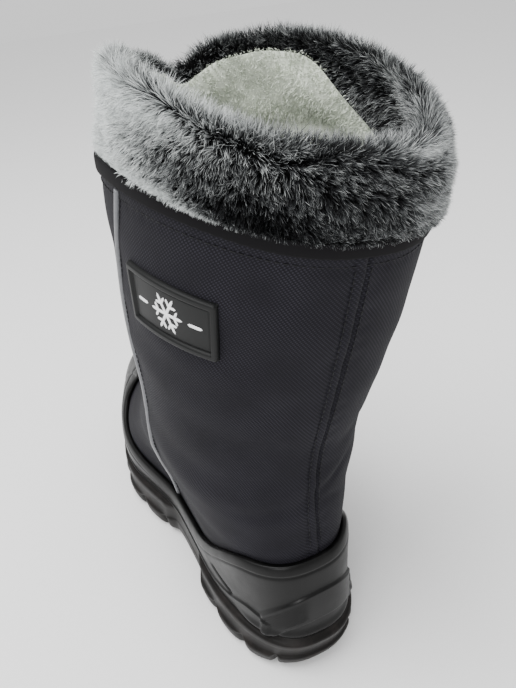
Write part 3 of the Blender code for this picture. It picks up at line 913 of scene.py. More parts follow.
@dataclass(frozen=True)
class Binding:
    """The ribbed tape folded over the top edge, with the hem's second fold below it."""

    form: BootForm
    height: float = 6.8 * MM
    wall: float = 1.5 * MM
    columns: int = 500

    def build(self, tape: bpy.types.Material) -> bpy.types.Object:
        """A rounded band round the edge, whose lower side puckers a little between stitches.

        Args:
            tape: The tape's finish.

        Returns:
            The binding.
        """
        angle = np.arange(self.columns) * FULL_TURN / self.columns
        share = np.array([0.0, 0.0, 0.05, 0.16, 0.5, 0.84, 0.95, 1.0, 1.0])[:, None]
        proud = np.array([0.2, 0.55, 0.88, 1.0, 1.05, 1.0, 0.85, 0.55, -1.2])[:, None]
        wave = 0.25 * MM * ripple(angle, 0 * angle, 3) + 0.12 * MM * np.sin(angle * 97)
        bottom = self.form.shaft_height - self.height + wave
        height = bottom + (self.form.shaft_height - bottom) * share
        off = proud * (self.wall + 0.2 * MM * ripple(angle, 0 * angle, 8))
        outer = self.form.surface(height, angle, off)
        under = self.form.surface(height[:1], angle, np.full((1, self.columns), -0.4 * MM))
        points = np.concatenate([outer, under])
        level = np.concatenate([share[:, 0] * self.height, [0.0]])
        band = tube_sheet("binding_tape", points, tape, 0.46, level, closed=True)
        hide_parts("rim_binding")
        return band


@dataclass(frozen=True)
class Piping:
    """The reflective piping down each side: a cord in a folded tape, flattened a little."""

    form: BootForm
    width: float = 2.4 * MM
    proud_by: float = 1.5 * MM
    rows = ((0.23, 15.0), (0.40, 13.4), (0.55, 12.2), (0.69, 12.2), (0.84, 13.6), (0.97, 15.4))

    def way(self) -> tuple[np.ndarray, np.ndarray]:
        """Heights and places of the piping's line, from the galosh's rim to the binding.

        Returns:
            The heights in metres, and the places in the source's columns.
        """
        start = self.form.rim(angle_of(self.rows[0][1])) - 2 * MM
        height = np.linspace(start, self.form.shaft_height - 7.6 * MM, 150)
        knots, places = zip(*self.rows)
        place = smooth(height / self.form.shaft_height, knots, places)
        return height, place

    def columns_of(self, height: np.ndarray, place: np.ndarray, distance: float) -> np.ndarray:
        """How many columns a distance round the boot spans at each point.

        Args:
            height: Heights in metres.
            place: Places in columns.
            distance: The distance in metres.

        Returns:
            The columns at each point.
        """
        span = self.form.point(height, angle_of(place + 0.5)) - self.form.point(height, angle_of(place - 0.5))
        return distance / np.linalg.norm(span, axis=1)

    def build(self, tape: bpy.types.Material, mirrored: bool) -> bpy.types.Object:
        """A low dome carried down the side, with a narrow flat flange beside it.

        Args:
            tape: The reflective finish.
            mirrored: Whether it is the inner side's.

        Returns:
            The piping.
        """
        height, place = self.way()
        angle = angle_of(COLUMNS - place if mirrored else place)
        path = self.form.surface(height, angle, 0.1 * MM)
        out = unit(self.form.surface(height, angle, MM) - self.form.surface(height, angle, 0.0))
        side = unit(np.cross(np.gradient(path, axis=0), out))
        turn = np.linspace(0, math.pi, 11)
        dome = np.stack([np.cos(turn) * self.width / 2, np.sin(turn) ** 0.8 * self.proud_by], axis=-1)
        profile = np.concatenate([dome, [[-self.width / 2, -0.5 * MM], [self.width / 2, -0.5 * MM]]])
        name = "piping_medial" if mirrored else "piping_lateral"
        cord = sweep(f"reflective_{name}", path, side, out, profile[::-1], tape)
        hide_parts(name)
        return cord


@dataclass(frozen=True)
class Plate:
    """The moulded side plate: rounded frame, sunk field and a plain snowflake in relief."""

    form: BootForm
    bottom: float = 212.3 * MM
    top: float = 239.5 * MM
    places: tuple[float, float] = (15.7, 21.9)
    proud_by: float = 2.3 * MM
    field_depth: float = 1.1 * MM
    frame_width: float = 2.6 * MM

    def ground(self, u: np.ndarray, v: np.ndarray, off: np.ndarray) -> np.ndarray:
        """A point of the plate, bent round the boot.

        Args:
            u: Metres along the plate from its middle.
            v: Metres up it.
            off: Metres off the boot's outer face.

        Returns:
            Points, with a last axis of three.
        """
        start, end = self.places
        half_width, _ = self.half()
        place = (start + end) / 2 + u / half_width * (end - start) / 2
        height = (self.top + self.bottom) / 2 + v
        return self.form.surface(height, angle_of(place), off)

    def half(self) -> tuple[float, float]:
        """Half the plate's width and height in metres.

        Returns:
            Both halves.
        """
        middle = (self.top + self.bottom) / 2
        ends = self.form.point(np.full(60, middle), angle_of(np.linspace(*self.places, 60)))
        return np.linalg.norm(np.diff(ends, axis=0), axis=1).sum() / 2, (self.top - self.bottom) / 2

    def build(self, plastic: bpy.types.Material) -> bpy.types.Object:
        """A grid over the plate whose height is a rounded frame round a sunk field.

        The height rises with a quarter ellipse from the edge, runs flat over the frame and
        drops to the field through a soft step.

        Args:
            plastic: The plate's finish.

        Returns:
            The plate.
        """
        half_width, half_height = self.half()
        u = np.linspace(-1, 1, 121)
        v = np.linspace(-1, 1, 81)
        grid_u, grid_v = np.meshgrid(u, v)
        corner = 1.6 * MM
        in_u = half_width - corner - abs(grid_u) * half_width
        in_v = half_height - corner - abs(grid_v) * half_height
        outside = np.hypot(np.minimum(in_u, 0), np.minimum(in_v, 0))
        inside = np.where(outside > 0, corner - outside, corner + np.minimum(in_u, in_v))
        inside = np.clip(inside, 0, None)
        rise = np.sqrt(np.clip(1 - (1 - np.clip(inside / (1.1 * MM), 0, 1)) ** 2, 0, 1))
        drop = ease((inside - self.frame_width) / (0.7 * MM)) * (self.proud_by - self.field_depth)
        groove = 0.35 * MM * swell(inside, self.frame_width + 0.9 * MM, 0.35 * MM)
        off = GAP + 0.1 * MM + rise * (self.proud_by - 0.1 * MM) - drop - groove
        top = self.ground(grid_u * half_width, grid_v * half_height, off)
        back = self.ground(grid_u * half_width, grid_v * half_height, np.full_like(off, -0.4 * MM))
        faces, _ = grid_faces(81, 121, False, False)
        number = np.arange(81 * 121).reshape(81, 121)
        rim = np.concatenate([number[0, :-1], number[:-1, -1], number[-1, :0:-1], number[:0:-1, 0]])
        walls = np.stack([np.roll(rim, -1), rim, rim + number.size, np.roll(rim, -1) + number.size], axis=1)
        faces = np.concatenate([faces, faces[:, ::-1] + number.size, walls])
        points = np.concatenate([top.reshape(-1, 3), back.reshape(-1, 3)])
        plate = mesh_object("side_plate", points, faces, plastic)
        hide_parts("side_patch")
        return plate

    def bar(
        self, start: tuple[float, float], end: tuple[float, float], width: float,
    ) -> tuple[np.ndarray, np.ndarray]:
        """A low rounded bar on the field between two points of the plate, in millimetres.

        Args:
            start: Its one end.
            end: Its other end.
            width: Its width.

        Returns:
            Its points and faces.
        """
        a, b = np.array(start) * MM, np.array(end) * MM
        along = unit(b - a)
        side = np.array([-along[1], along[0]])
        t = np.linspace(-0.5, 0.5, 9)
        cap = np.sqrt(np.clip(1 - (2 * t) ** 6, 0.0, 1))
        spine = (a + b) / 2 + along * (t[:, None] * (np.linalg.norm(b - a) + width * MM))
        turn = np.linspace(0, math.pi, 6)
        across = np.cos(turn)[None] * cap[:, None] * width * MM / 2
        lift = np.sin(turn)[None] ** 0.5 * (0.25 + 0.75 * cap[:, None]) * 0.5 * MM
        flat = spine[:, None] + side * across[..., None]
        off = GAP + self.field_depth - 0.05 * MM + lift
        points = self.ground(flat[..., 0], flat[..., 1], off)
        faces, _ = grid_faces(9, 6, False, False)
        return points.reshape(-1, 3), faces

    def motif(self, white: bpy.types.Material) -> bpy.types.Object:
        """Six arms at sixty degrees, each with two short side bars, and a bar on each side.

        Args:
            white: The relief's finish.

        Returns:
            The bars as one object.
        """
        bars = []
        for k in range(6):
            turn = k * math.pi / 3
            arm = np.array([math.cos(turn), math.sin(turn)])
            bars.append(self.bar((0, 0), tuple(arm * 8.4), 1.3))
            for tilt in (-1, 1):
                twig = np.array([math.cos(turn + tilt * math.pi / 3), math.sin(turn + tilt * math.pi / 3)])
                bars.append(self.bar(tuple(arm * 4.6), tuple(arm * 4.6 + twig * 3.0), 1.1))
        for end in (-1, 1):
            bars.append(self.bar((end * 12.5, 0.0), (end * 18.5, 0.0), 1.4))
        count = len(bars[0][0])
        points = np.concatenate([bar[0] for bar in bars])
        faces = np.concatenate([bar[1] + k * count for k, bar in enumerate(bars)])
        flake = mesh_object("plate_snowflake", points, faces[:, ::-1], white)
        return flake


@dataclass(frozen=True)
class Galosh:
    """The moulded foam foot: rounded rim, heel band, side band and toe cap line.

    The moulding's heights are in millimetres and its places in the source's columns, of which 28
    is the heel and nought the toe.
    """

    form: BootForm
    lip: float = 2.2 * MM
    lip_round: float = 10 * MM
    heel_place: float = 28.3
    band_end: float = 4.3
    band_proud: float = 1.3 * MM
    hatch: float = 0.28 * MM
    foot_roll: float = 1.5 * MM
    step_proud: float = 1.0 * MM
    slot_depth: float = 1.9 * MM
    bead_depth: float = 0.55 * MM
    toe_line: float = 0.7 * MM
    rib: float = 0.35 * MM
    foot_tuck: float = 0.2 * MM
    step_places = (0, 3.4, 5.2, 7.2, 10, 14, 24)
    step_heights = (41.0, 41, 45, 39, 33, 31, 40)
    columns: int = 440
    rows: int = 90

    def relief(self, height: np.ndarray, angle: np.ndarray, rim: np.ndarray) -> np.ndarray:
        """Steps of the moulding: an arched heel band, side bands with a slot, a bead under the rim.

        Each step is a soft rise across a line of heights that runs round the boot.

        Args:
            height: Heights in metres.
            angle: Angles in radians.
            rim: The rim's height at each angle.

        Returns:
            Distances in metres, outwards.
        """
        place = (angle / FULL_TURN * COLUMNS) % COLUMNS
        mm = height / MM
        back = place - self.heel_place
        side = abs(back)
        upper = 64 - 1.05 * back ** 2
        lower = 43.5 - 1.0 * back ** 2
        ends = ease((self.band_end - side) / 0.25)
        off = self.band_proud * ease((upper - mm) / 1.2 + 0.5) * ease((mm - lower) / 1.2 + 0.5) * ends
        inside = ease((upper - 2 - mm) / 1.5) * ease((mm - lower - 2) / 1.5) * ends
        inside = inside * ease((-back - 0.4) / 0.8)
        off = off + self.hatch * np.sin(place * 22 + mm * 3.0) * inside
        line = smooth(side, self.step_places, self.step_heights)
        ends = ease((side - 3.4) / 0.3) * ease((20 - side) / 2)
        off = off + self.step_proud * ease((line - mm) / 1.0 + 0.5) * ends
        off = off + self.foot_roll * swell(mm, 34.0, 2.6) * ease((6.8 - side) / 2.0)
        slot = swell(mm - 4.2 * (side - 7.4), 45, 1.7) * ease((0.95 - abs(side - 7.5)) / 0.3)
        off = off - self.slot_depth * slot
        bead = swell(height, rim - 6.2 * MM, 0.7 * MM)
        off = off - self.bead_depth * bead * ease((rim - self.form.low - 14 * MM) / (10 * MM))
        toe = abs((place + COLUMNS / 2) % COLUMNS - COLUMNS / 2)
        off = off - self.toe_line * swell(toe, 6.0, 0.16) * ease((mm - 38) / 6)
        ribs = self.rib * np.sin((mm - 34) * 1.1) * swell(mm, 39, 7) * ease((6.5 - toe) / 2)
        return (off + ribs) * ease((rim - height) / (2.5 * MM))

    def build(self, rubber: bpy.types.Material) -> bpy.types.Object:
        """Rows up the outside, over a lip rounded as a quarter ellipse, and a little way inside.

        Args:
            rubber: The foam's finish.

        Returns:
            The galosh.
        """
        angle = np.arange(self.columns) * FULL_TURN / self.columns
        rim = self.form.rim(angle)
        low = self.form.low
        rise = np.linspace(0, 1, self.rows)[:, None]
        height = low + (rim - self.lip_round - low) * rise
        wall = GAP + self.form.galosh_wall + self.relief(height, angle, rim)
        wall = wall - self.foot_tuck * (1 - ease(rise * 14))
        outer = self.form.surface(height, angle, wall)
        turn = np.linspace(0.08, 1, 22)[:, None] * math.pi / 2
        over_height = rim - self.lip_round * (1 - np.sin(turn))
        over_wall = GAP + self.lip + (self.form.galosh_wall - self.lip) * np.cos(turn)
        over_wall = over_wall + self.relief(over_height, angle, rim)
        over = self.form.surface(over_height, angle, over_wall)
        edge = self.form.surface(rim + 0.1 * MM, angle, GAP + self.lip * 0.45)[None]
        inner_height = rim - np.array([0.6, 6.0, 12.0])[:, None] * MM
        inner = self.form.surface(inner_height, angle, 0.05 * MM)
        foot = self.form.surface(np.full(self.columns, low), angle, 0.3 * MM)[None]
        points = np.concatenate([outer, over, edge, inner, foot])
        inner_level = [0.08, 0.08, 0.07, 0.06, low]
        level = np.concatenate([height.mean(axis=1), over_height.mean(axis=1), inner_level])
        galosh = tube_sheet("foam_galosh", points, rubber, 0.7, level, closed=True)
        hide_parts("galosh")
        return galosh


@dataclass(frozen=True)
class Outsole:
    """The lugged rubber sole: a ledge round the foot, a bulging side and lugs that notch it."""

    form: BootForm
    tread_depth: float = 7 * MM
    groove: float = 5 * MM
    lane: float = 17.5 * MM
    heel_breast: float = 82 * MM
    ball_start: float = 150 * MM
    arch: float = 6 * MM
    arch_tuck: float = 0.8
    heel_tuck: float = 9 * MM
    notch: float = 5.0 * MM
    rand: float = 2.6 * MM
    rand_place: float = 4.4 * MM
    rand_width: float = 2.2 * MM
    half_width: float = 45 * MM
    columns: int = 640
    grooves = (0.058, 0.128, 0.217, 0.505, 0.594, 0.690, 0.764, 0.838, 0.912)
    back_notches = (25.3, 31.2)
    side_rows = (
        (0.00, 0.30), (0.04, 0.62), (0.14, 0.92), (0.26, 1.10), (0.36, 1.17), (0.42, 1.08), (0.47, 0.74),
        (0.56, 0.70), (0.75, 0.78), (0.88, 0.90), (0.96, 0.86), (1.00, 0.62),
    )

    def arch_lift(self, x: np.ndarray) -> np.ndarray:
        """How far the arch lifts the tread at a distance from the heel's back."""
        middle, half = (self.heel_breast + self.ball_start) / 2, (self.ball_start - self.heel_breast) / 2
        return self.arch * ease((half - abs(x - middle)) / half * 2.5)

    def spring(self, x: np.ndarray) -> np.ndarray:
        """How far the toe spring lifts a point at a distance from the heel's back."""
        run = np.clip((x - self.form.spring_start) / (self.form.length - self.form.spring_start), 0, None)
        return self.form.toe_spring * run ** 2

    def cut(self, x: np.ndarray) -> np.ndarray:
        """One in the middle of a cross groove and nought on a lug."""
        near = np.min([abs(x - share * self.form.length) for share in self.grooves], axis=0)
        return ease((self.groove / 2 + 0.7 * MM - near) / (1.4 * MM))

    def scallop(self, x: np.ndarray) -> np.ndarray:
        """How far a lug's end is rounded back: a sharp-bottomed bell round each cross groove."""
        near = np.min([abs(x - share * self.form.length) for share in self.grooves], axis=0)
        return np.exp(-near / (2.6 * MM))

    def tread(self, x: np.ndarray, y: np.ndarray) -> np.ndarray:
        """Depth of the tread's grooves: cross grooves with a slight chevron, and two long lanes.

        Args:
            x: Distance from the heel's back.
            y: Distance from the sole's middle line.

        Returns:
            The depth at each point.
        """
        cross = self.cut(x - 0.10 * abs(y) * (1 - abs(y) / 0.06))
        lanes = ease((self.groove / 2 + 0.7 * MM - abs(abs(y) - self.lane)) / (1.4 * MM))
        ends = np.maximum(ease((self.heel_breast - x) / (3 * MM)), ease((x - self.ball_start) / (3 * MM)))
        lanes = lanes * ends * ease((self.form.spring_start + 35 * MM - x) / (3 * MM))
        return self.tread_depth * np.maximum(cross, 0.8 * lanes)

    def build(self, rubber: bpy.types.Material) -> bpy.types.Object:
        """Rows from the middle of the tread out to its edge, up the side and in over the top.

        The side's reach is a curve through the table, cut back at each notch low down. The tread
        is the outline drawn in towards the sole's middle line.

        Args:
            rubber: The sole's finish.

        Returns:
            The sole.
        """
        form = self.form
        columns = self.columns
        angle = np.arange(columns) * FULL_TURN / columns
        base = form.point(np.full(columns, form.low), angle)
        base = base + np.array([form.heel_centre, 0, 0])
        base[:, 2] = 0
        ahead = np.roll(base, -1, axis=0) - np.roll(base, 1, axis=0)
        normal = unit(np.stack([ahead[:, 1], -ahead[:, 0], np.zeros(columns)], axis=-1))
        share = np.concatenate([np.linspace(0, 0.46, 26), np.linspace(0.5, 1, 14)])
        knots, reaches = zip(*self.side_rows)
        reach = smooth(share, knots, reaches)
        tuck = 1 - self.arch_tuck * self.arch_lift(base[:, 0]) / self.arch
        place = angle / FULL_TURN * COLUMNS
        rear = np.max([swell(place, spot, 0.2) for spot in self.back_notches], axis=0)
        notch = np.maximum(self.scallop(base[:, 0]) * ease((base[:, 0] - 26 * MM) / (8 * MM)), 0.7 * rear)
        low = 1 - ease((share[:, None] - 0.36) / 0.12)
        off = GAP + form.galosh_wall + reach[:, None] * form.ledge * tuck - self.notch * notch * low
        side = base + normal * off[..., None]
        side[..., 2] = share[:, None] * form.sole_height
        side[..., 2] += (1 - share[:, None]) * self.arch_lift(side[..., 0])
        side[..., 0] += (1 - share[:, None]) * self.heel_tuck * ease(1 - side[..., 0] / form.heel_centre)
        edge = side[0]
        middle = np.stack([np.clip(edge[:, 0], 30 * MM, form.length - 30 * MM), 0 * place, edge[:, 2]], -1)
        inward = np.linspace(0, 1, 60)[:, None, None]
        under = middle + (edge - middle) * inward
        depth = self.tread(under[..., 0], under[..., 1])
        under[..., 2] = self.arch_lift(under[..., 0]) + depth
        inset = np.array([0.02, 0.04, 0.06, 0.08, 0.10, 0.13, 0.17, 0.3, 0.6, 1.0])[:, None, None]
        top = side[-1] + (middle * [1, 1, 0] + [0, 0, form.sole_height] - side[-1]) * inset
        top[..., 2] += self.rand * swell(inset[..., 0] * self.half_width, self.rand_place, self.rand_width)
        points = np.concatenate([under, side[1:], top])
        points[..., 2] += self.spring(points[..., 0])
        points[..., 0] -= form.heel_centre
        level = np.arange(len(points)) * MM
        sole = tube_sheet("lugged_sole", points, rubber, 0.75, level)
        merge_points(sole)
        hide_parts("outsole")
        return sole


@dataclass(frozen=True)
class Cuff:
    """The fur collar's own form, the same as its source's, and the hairs that stand on it."""

    form: BootForm
    height: float = 34.5 * MM
    rise: float = 6 * MM
    inner_rise: float = 4 * MM
    inner_place: float = -0.75
    out: float = 8.5 * MM
    inward: float = 11.5 * MM
    lean: float = 3 * MM
    tuck_lean: float = 11 * MM
    tuck_thin: float = 6.5 * MM
    tuck_place: float = 1.10
    tuck_width: float = 0.75
    dip: float = 11 * MM
    dip_place: float = 0.13
    dip_width: float = 0.18
    hair_length: float = 5.6 * MM
    hair_width: float = 0.30 * MM
    root_depth: float = 4.2 * MM
    section_rows = (
        (0.00, 0.26), (0.10, 0.48), (0.32, 0.84), (0.58, 1.00), (0.80, 0.82), (0.95, 0.44), (1.00, 0.00),
        (0.96, -0.42), (0.82, -0.82), (0.58, -1.00), (0.32, -1.00), (0.10, -0.84), (0.00, -0.50),
    )

    def section(self, along: np.ndarray) -> tuple[np.ndarray, np.ndarray]:
        """Rise and reach at a share of the way round the section: a closed curve through the table.

        Between two points it is the cubic whose slopes join each point's neighbours.

        Args:
            along: Share of the way round the section.

        Returns:
            The rise and the reach, as the table gives them.
        """
        table = np.array(self.section_rows)
        count = len(table)
        spot = (np.asarray(along, float) % 1.0) * count
        k = np.floor(spot).astype(int)
        t = (spot - k)[..., None]
        p0, p1, p2, p3 = (table[(k + shift) % count] for shift in (-1, 0, 1, 2))
        bend = 2 * p0 - 5 * p1 + 4 * p2 - p3 + t * (3 * (p1 - p2) + p3 - p0)
        value = p1 + 0.5 * t * (p2 - p0 + t * bend)
        return value[..., 0], value[..., 1]

    def point(self, along: np.ndarray, angle: np.ndarray, depth: float = 0.0) -> np.ndarray:
        """A point of the collar, or of its core at a depth under it.

        Args:
            along: Share of the way round the section, from the outer bottom over the crest.
            angle: Angle round the boot.
            depth: How far under the surface.

        Returns:
            Points, with a last axis of three.
        """
        along, angle = np.broadcast_arrays(np.asarray(along, float), np.asarray(angle, float))
        turn = np.angle(np.exp(1j * angle))
        edge = self.form.point(np.full(angle.shape, self.form.shaft_height), angle)
        ahead = self.form.point(np.full(angle.shape, self.form.shaft_height), angle + 0.02) - edge
        level = unit(np.stack([ahead[..., 1], -ahead[..., 0], np.zeros(angle.shape)], axis=-1))
        tall = self.height + self.rise * (1 + np.cos(turn)) / 2
        tall = tall + self.inner_rise * swell(turn, self.inner_place, self.tuck_width)
        tall = tall - self.dip * swell(turn, self.dip_place, self.dip_width)
        tuck = swell(turn, self.tuck_place, self.tuck_width)
        lean = self.lean + self.tuck_lean * tuck
        rise, reach = self.section(along)
        rise = np.clip(rise, 0, 1.02)
        outward = np.maximum(self.out - self.tuck_thin * tuck - depth, 0.5 * MM)
        out = np.where(reach > 0, outward, self.inward - depth)
        lump = 1.6 * MM * ripple(angle, along * 4, 21)
        offset = out * reach - lean * np.clip(rise, 0, 1) ** 0.5 + lump * reach
        place = edge + level * offset[..., None]
        place[..., 2] += GAP + np.clip(tall * rise - depth * rise, 0, None) + lump * rise * 0.8
        return place

    def backing(self, knit: bpy.types.Material) -> bpy.types.Object:
        """The core that the hairs stand on.

        Args:
            knit: The backing's finish.

        Returns:
            The core, which replaces the source's collar.
        """
        along = np.arange(44) / 44
        angle = np.arange(260) * FULL_TURN / 260
        points = self.point(along[:, None], angle[None], self.root_depth)
        core = tube_sheet("fur_backing", points, knit, 0.48, along * 0.1, closed=True)
        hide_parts("fur_cuff")
        return core

    def hairs(
        self, name: str, pile: bpy.types.Material, count: int, span: tuple[float, float], seed: int,
    ) -> bpy.types.Object:
        """Tapered hairs in tufts: a root, a bent middle and a tip, each a narrow folded blade.

        A hair leaves along the collar's normal, leans with its tuft's own direction and droops.

        Args:
            name: The piece's name.
            pile: The fur's finish.
            count: How many hairs.
            span: The part of the section that they stand on.
            seed: Fixes their places.

        Returns:
            The hairs as one object.
        """
        rng = np.random.default_rng(seed)
        along = rng.uniform(*span, count)
        angle = rng.uniform(0, FULL_TURN, count)
        kept = along < self.inner_edge(angle) + rng.normal(0.005, 0.012, count)
        along, angle = along[kept], angle[kept]
        count = len(along)
        root = self.point(along, angle, self.root_depth)
        depth = self.root_depth
        step_a = self.point(along + 0.01, angle, depth) - self.point(along - 0.01, angle, depth)
        step_t = self.point(along, angle + 0.02, depth) - self.point(along, angle - 0.02, depth)
        normal = unit(np.cross(step_t, step_a))
        up = unit(step_a)
        ahead = unit(step_t)
        tuft_a = np.floor(along * 66 + 0.8 * np.sin(angle * 21 + along * 30))
        tuft_t = np.floor(angle * 50 + 0.8 * np.sin(along * 44 + angle * 5) + 0.5 * (tuft_a % 2))
        lean_a = tuft_noise(tuft_a, tuft_t, 1)
        lean_t = tuft_noise(tuft_a, tuft_t, 2)
        longer = tuft_noise(tuft_a, tuft_t, 3)
        length = self.hair_length * (1 + 0.16 * longer + rng.normal(0, 0.10, count))
        turn = np.angle(np.exp(1j * angle))
        near = np.maximum(swell(turn, 2.7, 0.9), swell(turn, -3.4, 0.9))
        crest = swell(along, 0.47, 0.10)
        length = length * (0.45 + 0.55 * ease((along + 0.02) / 0.14)) * (1 + crest * (0.35 + 0.25 * near))
        fall = 0.55 * ease((along - 0.44) / 0.12) - 0.35 * ease((along - 0.05) / 0.12)
        fall = fall + 0.30 * swell(along, 0.40, 0.09)
        way = normal + up * (fall + 0.30 * lean_a)[:, None] + ahead * (0.30 * lean_t + 0.12)[:, None]
        way = unit(way + rng.normal(0, 0.12, (count, 3)))
        curl = way + up * (0.7 * fall + 0.2 * lean_a)[:, None] + ahead * (0.25 * lean_t)[:, None]
        curl = unit(curl + rng.normal(0, 0.12, (count, 3)))
        middle = root + way * (length * 0.55)[:, None]
        tip = middle + curl * (length * 0.45)[:, None]
        side = unit(np.cross(way, rng.normal(0, 1, (count, 3))))
        side = side * (self.hair_width * rng.uniform(0.6, 1.2, count)[:, None] / 2)
        chance = np.clip(0.5 + 0.22 * tuft_noise(tuft_a, tuft_t, 5) + rng.normal(0, 0.19, count), 0, 1)
        # How pale each hair reads mixes the real silver tips with painted highlight, rim light and shade.
        fur = blades(name, root, middle, tip, side, 0.8, chance, self.silver_and_painted_light(along, angle), pile)
        return fur

    def inner_edge(self, angle: np.ndarray) -> np.ndarray:
        """The share of the section at which the fur ends inside: later at the inner side and back."""
        turn = np.angle(np.exp(1j * np.asarray(angle)))
        return 0.64 + 0.2 * np.maximum(ease((-turn - 0.9) / 1.0), ease((turn - 2.0) / 1.1))

    def silver_and_painted_light(self, along: np.ndarray, angle: np.ndarray) -> np.ndarray:
        """How far the silver runs down the hair, with painted light and shade mixed in. It is paler at the
        outer side's lower edge, partly from the real silver tips and partly from a painted rim light. It has
        a painted highlight on the outer front corner, and paler bands on the outer side and crest that paint
        over the shade between the roots. It is slightly paler low on the inner back, and darker inside and at
        the heel.

        Args:
            along: Share of the way round the section.
            angle: Angle round the boot.

        Returns:
            A number a hair, added to how far along the hair the finish reads.
        """
        turn = np.angle(np.exp(1j * angle))
        fade = ease((2.65 - turn) / 0.5) * ease((turn - 0.3) / 0.3)
        # Lower edge: partly the real silver tips hanging over, partly a painted rim light.
        lower = swell(along, -0.02, 0.115) * fade
        # Painted highlight: the outer front corner of the collar is paler where the light falls brightest.
        lobe_highlight = swell(along, 0.20, 0.25) * swell(turn, 0.95, 0.38)
        # Painted light: paler bands on the outer side and the crest, painting over the shade between the
        # roots where the hairs are seen end-on.
        outer = 0.30 * swell(along, 0.25, 0.14) * swell(turn, 1.8, 0.55)
        outer = outer + 0.40 * swell(along, 0.42, 0.09) * swell(turn, 1.15, 0.50)
        outer = outer + 0.48 * swell(along, 0.40, 0.11) * swell(turn, 2.15, 0.50)
        outer = outer + 0.22 * swell(along, 0.24, 0.16) * swell(turn, 1.5, 0.45)
        crest = 0.16 * swell(along, 0.47, 0.04) * swell(turn, 1.4, 1.0)
        inside = ease((along - 0.50) / 0.08) * (1 - 0.45 * swell(turn, -1.7, 0.5))
        patch = 0.09 * ripple(angle, along * 5, 33)
        heel = swell(along, 0.12, 0.26) * np.maximum(swell(turn, 2.75, 0.6), swell(turn, -3.5, 0.6))
        right = 0.12 * swell(along, 0.06, 0.08) * swell(turn, -2.35, 0.5)
        return 0.95 * lower + 0.62 * lobe_highlight + outer + crest + right + patch - 0.18 * inside - 0.38 * heel - 0.20


def tuft_noise(a: np.ndarray, b: np.ndarray, seed: int) -> np.ndarray:
    """A value between minus one and one that all the hairs of a tuft share: a sine's far decimals."""
    value = np.sin(a * 127.1 + b * 311.7 + seed * 74.7) * 43758.5453
    return 2 * (value - np.floor(value)) - 1


@dataclass(frozen=True)
class Lining:
    """The pale wool pile inside, from the fur's inner edge down to the insole."""

    form: BootForm
    cuff: Cuff
    pile: float = 2.2 * MM
    hair_width: float = 0.45 * MM

    def point(self, down: np.ndarray, angle: np.ndarray) -> np.ndarray:
        """The lining at a share of the way down: it leaves the collar's inner face for the wall.

        Above a quarter of the way it follows the collar, below that the shaft's inner face, and
        the two are blended between.

        Args:
            down: Share of the way down from the fur's inner edge.
            angle: Angle round the boot.

        Returns:
            Points, with a last axis of three.
        """
        down, angle = np.broadcast_arrays(np.asarray(down, float), np.asarray(angle, float))
        share = np.clip(down / 0.25, -0.2, 1)
        start = self.cuff.inner_edge(angle)
        collar = self.cuff.point(start + (0.92 - start) * share, angle, -1.0 * MM)
        height = self.form.shaft_height - 4 * MM
        height = height - (height - self.form.low - 4.6 * MM) * np.clip((down - 0.25) / 0.75, 0, 1)
        wall = self.form.surface(height, angle, -3.4 * MM - self.pile * (1 - ease((down - 0.3) / 0.6) * 0.8))
        mix = ease((down - 0.20) / 0.14)[..., None]
        return collar * (1 - mix) + wall * mix

    def build(self, fleece: bpy.types.Material) -> bpy.types.Object:
        """The backing of the pile, as a sheet whose face looks inwards.

        Args:
            fleece: The backing's finish.

        Returns:
            The lining.
        """
        down = np.concatenate([np.linspace(0, 0.4, 60), np.linspace(0.42, 1, 40)])
        angle = np.arange(200) * FULL_TURN / 200
        points = self.point(down[:, None], angle[None])
        lining = tube_sheet("pile_lining", points, fleece, 0.46, down)
        return lining

    def hairs(self, wool: bpy.types.Material, count: int) -> bpy.types.Object:
        """Short woolly hairs in soft clumps over the part that the opening shows.

        Args:
            wool: The pile's finish.
            count: How many hairs.

        Returns:
            The hairs as one object.
        """
        rng = np.random.default_rng(77)
        down = rng.uniform(0, 0.62, count) ** 1.1 - 0.012 * rng.uniform(0, 1, count) ** 2
        angle = rng.uniform(0, FULL_TURN, count)
        root = self.point(down, angle)
        step_d = self.point(down + 0.004, angle) - self.point(np.clip(down - 0.004, 0, 1), angle)
        step_t = self.point(down, angle + 0.02) - self.point(down, angle - 0.02)
        normal = unit(np.cross(step_t, step_d))
        tuft_a, tuft_t = np.floor(down * 60), np.floor(angle / FULL_TURN * 95)
        way = normal + unit(step_t) * (0.35 * tuft_noise(tuft_a, tuft_t, 4))[:, None]
        way = way + unit(step_d) * (0.35 * tuft_noise(tuft_a, tuft_t, 6))[:, None]
        way = unit(way + rng.normal(0, 0.25, (count, 3)))
        length = self.pile * rng.uniform(0.8, 1.3, count)
        side = unit(np.cross(way, rng.normal(0, 1, (count, 3))))
        side = side * (self.hair_width * rng.uniform(0.6, 1.2, count)[:, None] / 2)
        middle = root + way * (length * 0.5)[:, None]
        tip = middle + unit(way + rng.normal(0, 0.5, (count, 3))) * (length * 0.5)[:, None]
        chance = np.clip(0.5 + 0.25 * tuft_noise(tuft_a, tuft_t, 9) + rng.normal(0, 0.15, count), 0, 1)
        patch = 0.22 * ripple(angle, down * 7, 41, 4)
        pile = blades("pile_lining_hair", root, middle, tip, side, 1.0, chance, patch, wool)
        return pile


